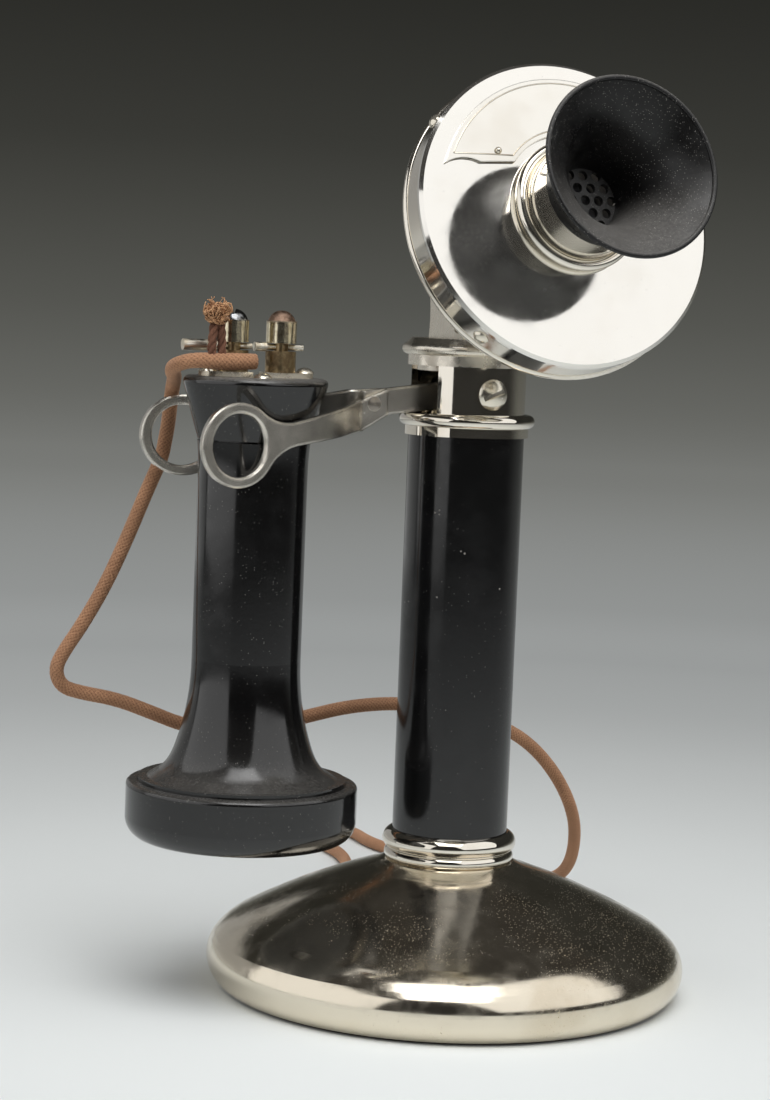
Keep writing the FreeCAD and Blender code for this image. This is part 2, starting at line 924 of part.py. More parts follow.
def hook_lever():
    """Lever strip with its hub across the collar and a cam arm down to the switch."""
    droop = math.radians(lever_droop)
    length = (arm_start - rivet_head_r) / math.cos(droop)
    half = lever_height / 2
    strip = box(-length, 0, -lever_thickness / 2, lever_thickness / 2, -half, half)
    strip.rotate(V(0, 0, 0), Y_AXIS, -lever_droop)
    hub = Part.makeCylinder(hub_r, hub_length, V(0, -hub_length / 2, 0), Y_AXIS)
    cam = box(-cam_thickness / 2, cam_thickness / 2, -cam_width / 2, cam_width / 2, -cam_length, 0)
    lever = strip.fuse(hub).fuse(cam)
    pivot = Part.makeCylinder(pivot_screw_r + running, hub_length, V(0, -hub_length / 2, 0), Y_AXIS)
    stud = Part.makeCylinder(stud_shank_r + running, cam_width, V(-cam_width / 2, 0, -stud_z), X_AXIS)
    lever = lever.cut(pivot).cut(stud)
    lever.translate(V(0, 0, hook_z))
    return lever.cut(rivet_hole()).removeSplitter()


def rivet_place():
    x = -(arm_start - arm_tab / 2)
    return V(x, 0, hook_z + x * math.tan(math.radians(lever_droop)))


def rivet_hole():
    reach = lever_thickness + 2 * arm_thickness
    return Part.makeCylinder(rivet_r + running, 2 * reach, rivet_place() - V(0, reach, 0), Y_AXIS)


def arm_side_view(drop):
    """Side outline of one arm: a ring, a tapered strip and the tab on the lever."""
    root = V(-arm_start, 0, lever_root_z - drop)
    centre = V(ring_x, 0, ring_z)
    along = (root - centre).normalize()
    across = Y_AXIS.cross(along) * -1
    reach = (root - centre).Length
    half = arm_height / 2
    root_half = arm_root_height / 2
    fillet_v = half + ring_fillet
    fillet_u = math.sqrt((ring_r + ring_fillet) ** 2 - fillet_v ** 2)
    touch = ring_r / (ring_r + ring_fillet)

    def spot(u, v):
        p = centre + along * u + across * v
        return (p.x, p.z)

    def fillet_mid(side):
        a = V(fillet_u * touch - fillet_u, fillet_v * touch - fillet_v, 0).normalize()
        b = V(0, -1, 0)
        m = (a + b).normalize() * ring_fillet
        return spot(fillet_u + m.x, side * (fillet_v + m.y))

    tab_end = -(arm_start - arm_tab)
    tab_z = hook_z + tab_end * math.tan(math.radians(lever_droop))
    tab_half = lever_height / 2
    return face_of(
        on_xz,
        spot(fillet_u * touch, fillet_v * touch),
        (fillet_mid(1), spot(fillet_u, half)),
        spot(reach, root_half),
        (tab_end, tab_z + tab_half),
        (tab_end, tab_z - tab_half),
        spot(reach, -root_half),
        spot(fillet_u, -half),
        (fillet_mid(-1), spot(fillet_u * touch, -fillet_v * touch)),
        (spot(-ring_r, 0), spot(fillet_u * touch, fillet_v * touch)),
    )


def round_edges(shape, radius):
    """Circular edges of a shape that have a radius."""
    circles = [e for e in shape.Edges if isinstance(e.Curve, Part.Circle)]
    return [e for e in circles if abs(e.Curve.Radius - radius) < running]


def fork_arm(side):
    """Flat arm bent away from the lever, ending in a ring; side is -1 at the front and 1 behind."""
    splay = math.radians(ring_splay)
    lean = math.radians(arm_lean)
    tab_y = (lever_thickness + arm_thickness) / 2
    bend = V(-arm_start, tab_y, 0)
    centre = V(ring_x, ring_y, 0)
    gap = centre - bend
    run = (gap.y * math.cos(splay) + gap.x * math.sin(splay)) / math.sin(lean - splay)
    knee = bend + V(-math.cos(lean), math.sin(lean), 0) * run
    far_end = centre + V(-math.cos(splay), math.sin(splay), 0) * (ring_r * 1.2)
    points = [V(-(arm_start - arm_tab), tab_y, 0), bend, knee, far_end]
    height = ring_r * 4
    plan = bent_strip(points, [arm_bend_r, arm_sweep_r], arm_thickness, ring_z - height, ring_z + height)
    view = arm_side_view(front_arm_drop if side < 0 else 0)
    side_solid = view.extrude(V(0, 4 * ring_y, 0))
    arm = plan.common(side_solid)
    normal = V(math.sin(splay), math.cos(splay), 0)
    reach = 4 * arm_thickness
    hole = Part.makeCylinder(ring_hole_r, 2 * reach, V(ring_x, ring_y, ring_z) - normal * reach, normal)
    arm = arm.cut(hole)
    arm = arm.makeFillet(ring_edge, round_edges(arm, ring_hole_r))
    if side < 0:
        arm = arm.mirror(V(0, 0, 0), Y_AXIS)
    return arm.cut(rivet_hole())


def fork_arms():
    return Part.makeCompound([fork_arm(-1), fork_arm(1)])


def fork_rivet():
    half = lever_thickness / 2 + arm_thickness
    place = rivet_place()
    body = Part.makeCylinder(rivet_r, 2 * half, place - V(0, half, 0), Y_AXIS)
    for side in (-1, 1):
        head = lathe((0, 0), (rivet_head_r, 0), dome_step(rivet_head_r, 0, rivet_head))
        body = body.fuse(placed(head, place + V(0, side * half, 0), V(0, side, 0)))
    return body.removeSplitter()


def switch_stud():
    """Insulating stud on the cam arm that holds the switch springs back."""
    z = hook_z - stud_z
    face = cam_thickness / 2
    head = Part.makeCylinder(stud_r, leaf_faces()[-1] - leaf_sheet - side_gap - face, V(face, 0, z), X_AXIS)
    shank = Part.makeCylinder(stud_shank_r, cam_thickness, V(-face, 0, z), X_AXIS)
    return head.fuse(shank).removeSplitter()


# Transmitter: shapes stand on +Z from the pivot and are then tilted to their rest angle

def tilted(shape):
    shape.rotate(V(0, 0, 0), X_AXIS, 90 - rest_tilt)
    shape.translate(V(0, 0, tilt_z))
    return shape


def face_arc():
    """The face's gentle crown: outer edge, middle and foot of the mouthpiece tube."""
    middle_r = (face_r + tube_bead_r) / 2
    return [
        (face_r - face_edge_in, face_edge + face_edge_rise),
        (middle_r, face_edge + face_rise / 2 + face_crown),
        (tube_neck_r, face_edge + face_rise + face_foot_rise),
    ]


def face_height(radius, lift=0.0):
    """Height of the crowned face at a radius, moved out by a lift."""
    circle = Part.Arc(*[on_xz(*p) for p in shifted_arc(face_arc(), lift)]).toShape().Curve
    return circle.Center.z + math.sqrt(circle.Radius ** 2 - (radius - circle.Center.x) ** 2)


def face_plate():
    top = face_arc()
    under = shifted_arc(top, -face_sheet)
    lip = face_edge - face_lip
    skirt_r = cup_band_r - cup_band_wall - slip
    skirt_in = skirt_r - face_sheet
    skirt_low = lip - face_skirt
    hole = tube_neck_r + slip
    plate = lathe(
        (hole, face_height(hole)), (top[1], top[0]),
        (face_r, face_edge - face_edge_drop), (face_r, lip),
        (skirt_r, lip), (skirt_r, skirt_low), (skirt_in, skirt_low),
        (skirt_in, face_height(skirt_in, -face_sheet)),
        (under[1], (hole, face_height(hole, -face_sheet))),
    )
    return tilted(plate.cut(rim_screw_holes()))


def rim_screw_angles():
    """Four screws round the band, in degrees from the top towards +X."""
    return [rim_screw_first + 90 * k for k in range(4)]


def rim_screw_z():
    return face_edge - face_lip - cup_groove - cup_band / 2


def rim_direction(degrees):
    return polar(1, 90 - degrees)


def rim_screw_holes():
    holes = []
    for angle in rim_screw_angles():
        start = rim_direction(angle) * (cup_band_r / 2) + V(0, 0, rim_screw_z())
        holes.append(Part.makeCylinder(rim_screw_r + slip, cup_band_r, start, rim_direction(angle)))
    return Part.makeCompound(holes)


def rim_screws():
    length = cup_band_wall + face_sheet
    screw = dome_screw(rim_screw_head_r, rim_screw_head, rim_screw_r, length)
    shapes = []
    for angle in rim_screw_angles():
        out = rim_direction(angle)
        shapes.append(placed(screw, out * cup_band_r + V(0, 0, rim_screw_z()), out))
    return tilted(Part.makeCompound(shapes))


def transmitter_cup():
    """Domed back with a straight band that takes the face plate's skirt."""
    front = face_edge - face_lip - cup_groove
    back = front - cup_band
    bead_mid = (cup_bead_r, back - cup_bead / 2)
    dome_end = (cup_band_r - cup_dome_inset, back - cup_bead)
    dome = [(cup_back_r, cup_back), (cup_dome_r, cup_dome), dome_end]
    inside = shifted_arc(dome, -cup_wall)
    bore = cup_band_r - cup_band_wall
    cup = lathe(
        (0, cup_back), dome[0], (dome[1], dome[2]),
        (bead_mid, (cup_band_r, back)), (cup_band_r, front), (bore, front), (bore, back),
        inside[2], (inside[1], inside[0]), (0, inside[0][1]),
    )
    for y in lug_screw_heights():
        cup = cup.cut(Part.makeCylinder(lug_screw_r + slip, cup_dome, V(0, y, 0)))
    return tilted(cup.cut(rim_screw_holes()))


def lug_screw_heights():
    return (-lug_screw_spacing / 2, lug_screw_spacing / 2)


def transmitter_lug():
    """Lug on the cup's back with an eye for the tilt screw."""
    half = ear_gap / 2 - side_gap
    plate_top_z = cup_back - lug_foot
    outline = face_of(
        on_yz, (lug_eye_r, 0), (lug_waist, plate_top_z), (-lug_waist, plate_top_z), (-lug_eye_r, 0),
        ((0, -lug_eye_r), (lug_eye_r, 0)),
    )
    plate = outline.extrude(V(2 * half, 0, 0))
    plate.translate(V(-half, 0, 0))
    lug = plate.fuse(Part.makeCylinder(lug_foot_r, lug_foot, V(0, 0, plate_top_z)))
    lug = lug.cut(Part.makeCylinder(tilt_screw_r + running, 2 * half, V(-half, 0, 0), X_AXIS))
    for y in lug_screw_heights():
        lug = lug.cut(Part.makeCylinder(lug_screw_r + slip, 3 * lug_foot, V(0, y, cup_back - 3 * lug_foot)))
    return tilted(lug.removeSplitter())


def lug_screws():
    inside = cup_back + cup_wall + slip
    length = 2 * lug_foot + cup_wall
    screw = dome_screw(lug_screw_head_r, lug_screw_head, lug_screw_r, length)
    return tilted(Part.makeCompound([placed(screw, V(0, y, inside)) for y in lug_screw_heights()]))


def tube_foot():
    return face_height(tube_neck_r) + slip


def grille_z():
    return face_edge + grille_front - grille_thickness


def mouthpiece_tube():
    """Nickel tube with a bead at its foot, a neck through the face and a ledge for the grille."""
    foot = tube_foot()
    top = foot + tube_length
    neck_low_z = foot - face_sheet * 2
    bore = tube_r - tube_wall
    bead_mid = (tube_bead_r, foot + tube_bead_height / 2)
    tube = lathe(
        (bell_throat_r, neck_low_z), (tube_neck_r, neck_low_z), (tube_neck_r, foot),
        (tube_bead_r - tube_bead_height / 2, foot),
        (bead_mid, (tube_r, foot + tube_bead_height)),
        (tube_r, top), (bore, top), (bore, grille_z()), (bell_throat_r, grille_z()),
    )
    return tilted(tube)


def mouthpiece():
    """Black bell: a spigot in the tube, a trumpet flare and a rounded rim."""
    shoulder = tube_foot() + tube_length + slip
    spigot = tube_r - tube_wall - slip
    low = face_edge + grille_front
    rim = face_edge + bell_edge
    outer_mid = (tube_r + (bell_r - tube_r) * bell_bow, shoulder + (rim - shoulder) * bell_outer_bow)
    inner_mid = (bell_throat_r + (bell_r - bell_throat_r) * bell_bow, low + (rim - low) * bell_inner_bow)
    bell = lathe(
        (bell_throat_r, low), (spigot, low), (spigot, shoulder), (tube_r, shoulder),
        (outer_mid, (bell_r, rim - bell_wall / 2)),
        ((bell_r - bell_wall / 2, rim), (bell_r - bell_wall, rim - bell_wall / 2)),
        (inner_mid, (bell_throat_r, low)),
    )
    return tilted(bell)


def mouthpiece_grille():
    """Round plate with a hexagonal pattern of holes."""
    disc = Part.makeCylinder(tube_r - tube_wall - slip, grille_thickness, V(0, 0, grille_z()))
    holes = []
    rings = 2
    for row in range(-rings, rings + 1):
        for column in range(-rings, rings + 1):
            x = grille_pitch * (column + row / 2)
            y = grille_pitch * row * math.sqrt(3) / 2
            if math.hypot(x, y) < bell_throat_r - grille_hole_r / 2:
                holes.append(Part.makeCylinder(grille_hole_r, grille_thickness, V(x, y, grille_z())))
    return tilted(disc.cut(Part.makeCompound(holes)))


def badge_plate():
    """Bare arched plate on the upper face, with its two ends scooped."""
    low = shifted_arc(face_arc(), slip)
    high = shifted_arc(face_arc(), slip + badge_thickness)
    edge_low = [(r, face_height(r, slip)) for r in (badge_inner_r, badge_outer_r)]
    edge_high = [(r, face_height(r, slip + badge_thickness)) for r in (badge_inner_r, badge_outer_r)]
    arch = lathe(edge_low[0], (low[1], edge_low[1]), edge_high[1], (high[1], edge_high[0]))
    keep = box(-face_r, face_r, badge_low_edge, face_r, 0, 2 * face_edge)
    arch = arch.common(keep)
    for side in (-1, 1):
        scoop = V(side * badge_scoop_x, badge_scoop_y, 0)
        pin = V(side * badge_pin_x, badge_pin_y, 0)
        arch = arch.cut(Part.makeCylinder(badge_scoop_r, 2 * face_edge, scoop))
        arch = arch.cut(Part.makeCylinder(badge_pin_shank_r + slip, 2 * face_edge, pin))
    return tilted(arch)


def badge_pins():
    radius = math.hypot(badge_pin_x, badge_pin_y)
    top = face_height(radius, slip + badge_thickness) + badge_pin_height / 2
    pin = dome_screw(badge_pin_r, badge_pin_height, badge_pin_shank_r, badge_pin_height)
    return tilted(Part.makeCompound([placed(pin, V(side * badge_pin_x, badge_pin_y, top)) for side in (-1, 1)]))


def diaphragm_z():
    return face_height(diaphragm_r, -face_sheet) - seat - gasket_thickness - diaphragm_thickness


def transmitter_diaphragm():
    return tilted(Part.makeCylinder(diaphragm_r, diaphragm_thickness, V(0, 0, diaphragm_z())))


def diaphragm_gasket():
    low = diaphragm_z() + diaphragm_thickness
    return tilted(ring(diaphragm_r, diaphragm_r - gasket_width, low, low + gasket_thickness))


def carbon_button():
    return tilted(Part.makeCylinder(button_r, button_height, V(0, 0, diaphragm_z() - button_height)))


def bridge_z():
    return diaphragm_z() - button_height


def button_bridge():
    """Bar behind the button with two feet up to the face plate."""
    half = bridge_width / 2
    low = bridge_z() - bridge_thickness
    bar = box(-bridge_reach, bridge_reach, -half, half, low, bridge_z())
    foot_top = face_height(math.hypot(bridge_reach, half), -face_sheet) - seat
    for side in (-1, 1):
        inner = bridge_reach - bridge_foot
        x0, x1 = sorted((side * inner, side * bridge_reach))
        bar = bar.fuse(box(x0, x1, -half, half, bridge_z(), foot_top))
    bar = bar.common(Part.makeCylinder(cup_band_r - cup_band_wall - face_sheet - 2 * slip, 2 * face_edge))
    return tilted(bar.cut(Part.makeCylinder(bridge_screw_r + slip, 2 * face_edge)).removeSplitter())


def button_screw():
    screw = dome_screw(2 * bridge_screw_r, bridge_screw_r, bridge_screw_r, bridge_thickness)
    return tilted(placed(screw, V(0, 0, bridge_z() - bridge_thickness), V(0, 0, -1)))


def damping_springs():
    """Two flat springs from the bridge's ends that bear on the diaphragm."""
    shapes = []
    half = damper_width / 2
    top = diaphragm_z() - slip
    reach = bridge_reach - bridge_foot - slip
    for side in (-1, 1):
        x0, x1 = sorted((side * (button_r + damper_gap), side * reach))
        leaf = box(x0, x1, -half, half, top - damper_sheet, top)
        post_x0, post_x1 = sorted((side * (reach - 2 * damper_sheet), side * reach))
        post = box(post_x0, post_x1, -half, half, bridge_z(), top)
        shapes.append(leaf.fuse(post).removeSplitter())
    return tilted(Part.makeCompound(shapes))


# Receiver: shapes are turned about Z and then moved to the receiver's axis

def hung(shape):
    shape.translate(V(receiver_x, 0, 0))
    return shape


def curve_edge(points, start_tangent, end_tangent):
    curve = Part.BSplineCurve()
    places = [on_xz(*p) for p in points]
    curve.interpolate(
        Points=places, InitialTangent=on_xz(*start_tangent), FinalTangent=on_xz(*end_tangent),
    )
    return curve.toShape()


def receiver_shell():
    """Long neck that swells into the flange under the ear cap."""
    seam_low = tail_seam - side_gap
    grown = [(neck_r + out, neck_low - depth) for out, depth in zip(swell_out, swell_depth)]
    ends = [(neck_r, neck_low), (shell_foot_r, shell_foot_z)]
    swell = curve_edge([ends[0]] + grown + [ends[1]], (0, -1), (1, -0.75))
    foot_low = shell_flange_top
    neck_mid = (neck_r + tail_neck_bow, tail_seam - tail_neck_length / 2)
    outer = edges_through(on_xz, ends[1], [
        (shell_foot_r + shell_step, foot_low), (shell_flange_r, foot_low), (shell_flange_r, shell_bottom),
        (shell_chamber_r, shell_bottom), (shell_chamber_r, shell_chamber_top),
        (neck_bore_r + bore_flare_out, shell_chamber_top + bore_flare_up),
        (neck_bore_r, neck_low - bore_flare_depth), (neck_bore_r, seam_low), (tail_seam_r, seam_low),
        (neck_mid, (neck_r, tail_seam - tail_neck_length)), ends[0],
    ])
    face = Part.Face(Part.Wire(Part.__sortEdges__([swell] + outer)))
    return hung(face.revolve(V(0, 0, 0), Z_AXIS, 360))


def tail_cap():
    """Flared top of the receiver, with a spigot down into the shell."""
    spigot = neck_bore_r - slip
    inner = spigot - tail_spigot_wall
    flare = (tail_rim_r - tail_seam_r) * tail_flare_share
    flare_mid = (tail_seam_r + flare, (tail_seam + tail_rim_z) / 2 - tail_flare_dip)
    lip_mid = (tail_rim_r - tail_lip * arc_share, tail_top - (tail_top - tail_rim_z) * arc_share)
    cap = lathe(
        (inner, tail_seam - tail_spigot), (spigot, tail_seam - tail_spigot), (spigot, tail_seam),
        (tail_seam_r, tail_seam + side_gap), (flare_mid, (tail_rim_r, tail_rim_z)),
        (lip_mid, (tail_rim_r - tail_lip, tail_top)),
        (0, tail_top), (0, tail_top - tail_wall), (inner, tail_top - tail_wall),
    )
    for place in tab_screw_places():
        cap = cap.cut(Part.makeCylinder(tab_screw_r + slip, tab_screw_depth, place - V(0, 0, tab_screw_depth)))
    return hung(cap)


def ear_cap():
    """Ear piece with a dished lower face, a centre hole and a bore for the shell's flange."""
    side = ear_cap_r
    low = ear_cap_bottom
    edge_mid = (side - ear_cap_edge * arc_share, low + ear_cap_edge * arc_share)
    lip_mid = (side - ear_cap_lip_r * arc_share, ear_cap_top - ear_cap_lip_r * arc_share)
    bore = shell_flange_r + slip
    dish_top = low + ear_cap_dish
    cap = lathe(
        (ear_cap_dish_r, low), (side - ear_cap_edge, low), (edge_mid, (side, low + ear_cap_edge)),
        (side, ear_cap_top - ear_cap_lip_r), (lip_mid, (side - ear_cap_lip_r, ear_cap_top)),
        (bore, ear_cap_top), (bore, chamber_floor), (ear_hole_r, chamber_floor), (ear_hole_r, dish_top),
        ((ear_cap_dish_r * ear_cap_bow, low + ear_cap_dish * ear_cap_bow), (ear_cap_dish_r, low)),
    )
    return hung(cap)


def receiver_diaphragm():
    return hung(Part.makeCylinder(shell_flange_r - slip, disc_thickness, V(0, 0, chamber_floor + slip / 2)))


def receiver_magnet():
    """Horseshoe magnet: two legs joined by a yoke."""
    inner = magnet_gap / 2
    outer = inner + magnet_leg
    half = magnet_width / 2
    magnet = box(-outer, outer, -half, half, magnet_top - magnet_yoke, magnet_top)
    for side in (-1, 1):
        x0, x1 = sorted((side * inner, side * outer))
        magnet = magnet.fuse(box(x0, x1, -half, half, magnet_foot, magnet_top - magnet_yoke))
    magnet = magnet.cut(Part.makeCylinder(hanger_r + slip, magnet_yoke, V(0, 0, magnet_top - magnet_yoke)))
    magnet = magnet.common(Part.makeCylinder(neck_bore_r - side_gap, magnet_top, V(0, 0, 0)))
    return hung(magnet.removeSplitter())


def pole_middle():
    return (magnet_gap + magnet_leg) / 2


def pole_foot():
    return chamber_floor + slip / 2 + disc_thickness + pole_air_gap


def pole_pieces():
    half_x = pole_thickness / 2
    half_y = pole_width / 2
    shapes = []
    for side in (-1, 1):
        x = side * pole_middle()
        shapes.append(box(x - half_x, x + half_x, -half_y, half_y, pole_foot(), magnet_foot))
    return hung(Part.makeCompound(shapes))


def receiver_coils():
    """Two oblong windings on the pole pieces."""
    hole_x = pole_thickness / 2 + slip
    hole_y = pole_width / 2 + slip
    top = magnet_foot - slip
    shapes = []
    for side in (-1, 1):
        x = side * pole_middle()
        wall = min(coil_wall, pole_middle() - hole_x - slip)
        body = box(x - hole_x - wall, x + hole_x + wall, -hole_y - wall, hole_y + wall, top - coil_height, top)
        hole = box(x - hole_x, x + hole_x, -hole_y, hole_y, top - coil_height, top)
        shapes.append(body.makeFillet(wall * 0.9, upright_edges(body)).cut(hole))
    return hung(Part.makeCompound(shapes))


def upright_edges(shape):
    return [e for e in shape.Edges if abs(e.Vertexes[0].Z - e.Vertexes[-1].Z) > 1]


def magnet_hanger():
    """Stud from the tail cap down through the magnet's yoke, with its nut under the yoke."""
    low = magnet_top - magnet_yoke - hanger_nut
    stud = Part.makeCylinder(hanger_r, tail_top - tail_wall - low, V(0, 0, low))
    nut_r = min(hanger_nut_r, magnet_gap / 2 - slip)
    return hung(stud.fuse(Part.makeCylinder(nut_r, hanger_nut, V(0, 0, low))).removeSplitter())


def post_places():
    half = post_spacing / 2
    return [V(-half, 0, tail_top + tab_thickness), V(half, 0, tail_top + tab_thickness)]


def tab_screw_places():
    """Screws at the outer ends of the tabs and one on the cap in front of the posts."""
    outer = [V(side * tab_screw_x, 0, tail_top) for side in (-1, 1)]
    return outer + [V(front_screw_x, front_screw_y, tail_top)]


def terminal_tabs():
    """Two flat tabs with rounded ends under the binding posts."""
    half = tab_width / 2
    shapes = []
    for side in (-1, 1):
        end = side * tab_outer
        tab = face_of(
            on_xy, (side * tab_inner, half), (side * (tab_outer - half), half),
            ((end, 0), (side * (tab_outer - half), -half)), (side * tab_inner, -half),
        ).extrude(V(0, 0, tab_thickness))
        tab.translate(V(0, 0, tail_top))
        tab = tab.cut(Part.makeCylinder(tab_screw_r + slip, tab_thickness, V(side * tab_screw_x, 0, tail_top)))
        shapes.append(tab)
    return hung(Part.makeCompound(shapes))


def tab_screws():
    shapes = []
    for index, place in enumerate(tab_screw_places()):
        under = tab_thickness if index < 2 else 0
        screw = dome_screw(tab_screw_head_r, tab_screw_head, tab_screw_r, tab_screw_depth + under - slip)
        shapes.append(placed(screw, place + V(0, 0, under)))
    return hung(Part.makeCompound(shapes))


def binding_posts():
    """Barrels on the tabs with a stud each; a cross hole takes the cord tip."""
    shapes = []
    for place in post_places():
        post = Part.makeCylinder(post_r, post_height, place)
        stud = Part.makeCylinder(post_stud_r, post_gap + nut_height / 2, place + V(0, 0, post_height))
        hole = Part.makeCylinder(tip_pin_r + running, 2 * post_r, V(place.x - post_r, 0, tip_z), X_AXIS)
        shapes.append(post.fuse(stud).cut(hole).removeSplitter())
    return hung(Part.makeCompound(shapes))


def binding_nuts():
    """Round clamp nuts with slotted domes."""
    shapes = []
    dome_r = post_r - nut_shoulder
    for angle, place in zip(nut_slot_angles, post_places()):
        nut = lathe(
            (post_stud_r + slip, nut_z), (post_r, nut_z), (post_r, nut_z + nut_height),
            (dome_r, nut_z + nut_height), dome_step(dome_r, nut_z + nut_height, nut_dome),
            (0, nut_z + nut_height / 2 + slip), (post_stud_r + slip, nut_z + nut_height / 2 + slip),
        )
        top = nut_z + nut_height + nut_dome
        slot = box(-post_r, post_r, -nut_slot / 2, nut_slot / 2, top - nut_slot_depth, top + nut_dome)
        slot.rotate(V(0, 0, 0), Z_AXIS, angle)
        nut = nut.cut(slot)
        nut.translate(V(place.x, 0, 0))
        shapes.append(nut)
    return hung(Part.makeCompound(shapes))


def cord_tips():
    """Two plated tips: the outer one lies left of the left post, the inner one between the posts."""
    left, right = [place.x for place in post_places()]
    outer_end = left - post_r - side_gap
    outer = rod(tip_r, V(outer_end - tip_length, 0, tip_z), V(outer_end, 0, tip_z))
    outer = outer.fuse(rod(tip_pin_r, V(outer_end, 0, tip_z), V(left + post_r + tip_overhang, 0, tip_z)))
    inner_end = right - post_r - side_gap
    inner = rod(inner_tip_r, V(inner_end - inner_tip_length, 0, tip_z), V(inner_end, 0, tip_z))
    inner = inner.fuse(rod(tip_pin_r, V(inner_end, 0, tip_z), V(right + post_r + 2 * tip_overhang, 0, tip_z)))
    return hung(Part.makeCompound([outer.removeSplitter(), inner.removeSplitter()]))


# Cord

def receiver_cord_top():
    """Upper length, which leaves with the receiver; it ends just short of the standing length."""
    last = V(*cord_top_route[-1])
    run = V(*cord_split) - last
    end = last + run * ((run.Length - seat) / run.Length)
    return tube_along(cord_top_route + [tuple(end)], cord_r, "receiver_cord_top")


def receiver_cord():
    outside = base_r + seat + bushing_flange
    route = cord_route + [(0.0, outside + cord_straight, bushing_z), (0.0, outside, bushing_z)]
    return tube_along(route, cord_r, "receiver_cord")


def cord_strands():
    """Two laced strands that stand up from the end of the cord."""
    y = cord_end[1]
    foot = cord_end[2]
    return Part.makeCompound([rod(strand_r, V(x, y, foot), V(x, y, strand_top)) for x in strand_x])


def cord_tuft():
    """Outer form of the frayed tuft on the strands."""
    tuft = lathe(
        (0, strand_top), (tuft_foot_r, strand_top),
        ((tuft_side_r, (strand_top + tuft_wide_z) / 2), (tuft_r, tuft_wide_z)),
        dome_step(tuft_r, tuft_wide_z, tuft_top - tuft_wide_z),
    )
    tuft.translate(V(sum(strand_x) / 2, cord_end[1], 0))
    return tuft


NODES = [
    base_shell, felt_pad, base_plate, base_weight, base_plate_screws, terminal_block, terminal_screws,
    cord_bushing, base_collar, stem_nut, stem_tube, hook_collar, hook_pivot_screw, transmitter_perch,
    perch_screws, tilt_screw, tilt_nut, switch_bracket, switch_springs, switch_insulators, switch_screws,
    stem_leads, receiver_cord,
    hook_lever, fork_arms, fork_rivet, switch_stud,
    transmitter_cup, face_plate, rim_screws, transmitter_lug, lug_screws, mouthpiece_tube, mouthpiece,
    mouthpiece_grille, badge_plate, badge_pins, transmitter_diaphragm, diaphragm_gasket, carbon_button,
    button_bridge, button_screw, damping_springs,
    receiver_shell, tail_cap, ear_cap, receiver_diaphragm, receiver_magnet, pole_pieces, receiver_coils,
    magnet_hanger, terminal_tabs, tab_screws, binding_posts, binding_nuts, cord_tips, receiver_cord_top,
    cord_strands, cord_tuft,
]

os.makedirs("parts", exist_ok=True)
for make in NODES:
    make().exportStep("parts/%s.step" % make.__name__)
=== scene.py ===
# Candlestick desk telephone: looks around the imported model. Metres, +Z up, front towards -Y.

import math
import random

import bpy
import numpy as np
from mathutils import Matrix, Vector


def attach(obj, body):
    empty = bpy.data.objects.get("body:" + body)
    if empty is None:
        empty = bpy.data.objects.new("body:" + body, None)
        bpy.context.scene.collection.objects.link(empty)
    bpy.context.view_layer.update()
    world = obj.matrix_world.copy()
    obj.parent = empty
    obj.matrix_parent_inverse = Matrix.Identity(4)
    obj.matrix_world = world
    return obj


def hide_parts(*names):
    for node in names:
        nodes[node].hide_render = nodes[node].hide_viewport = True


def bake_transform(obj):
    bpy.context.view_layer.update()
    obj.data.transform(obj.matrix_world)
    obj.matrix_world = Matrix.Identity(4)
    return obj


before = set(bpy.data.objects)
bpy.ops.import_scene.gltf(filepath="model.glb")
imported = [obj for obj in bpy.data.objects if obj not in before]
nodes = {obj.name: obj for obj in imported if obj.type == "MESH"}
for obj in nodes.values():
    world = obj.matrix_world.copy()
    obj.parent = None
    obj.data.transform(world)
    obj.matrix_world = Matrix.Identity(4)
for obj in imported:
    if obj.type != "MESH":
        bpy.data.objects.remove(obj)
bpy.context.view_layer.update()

# Camera, from the photograph's perspective
image_height = 1100
camera_focal = 2686.61        # pixels
camera_azimuth = -25.20       # degrees round the stem, to the left of the front
camera_distance = 0.83327
camera_height = 0.21482
camera_yaw = 1.63
camera_pitch = 5.34
camera_roll = 2.29
sensor = 36.0
clip_near = 0.01
clip_far = 50

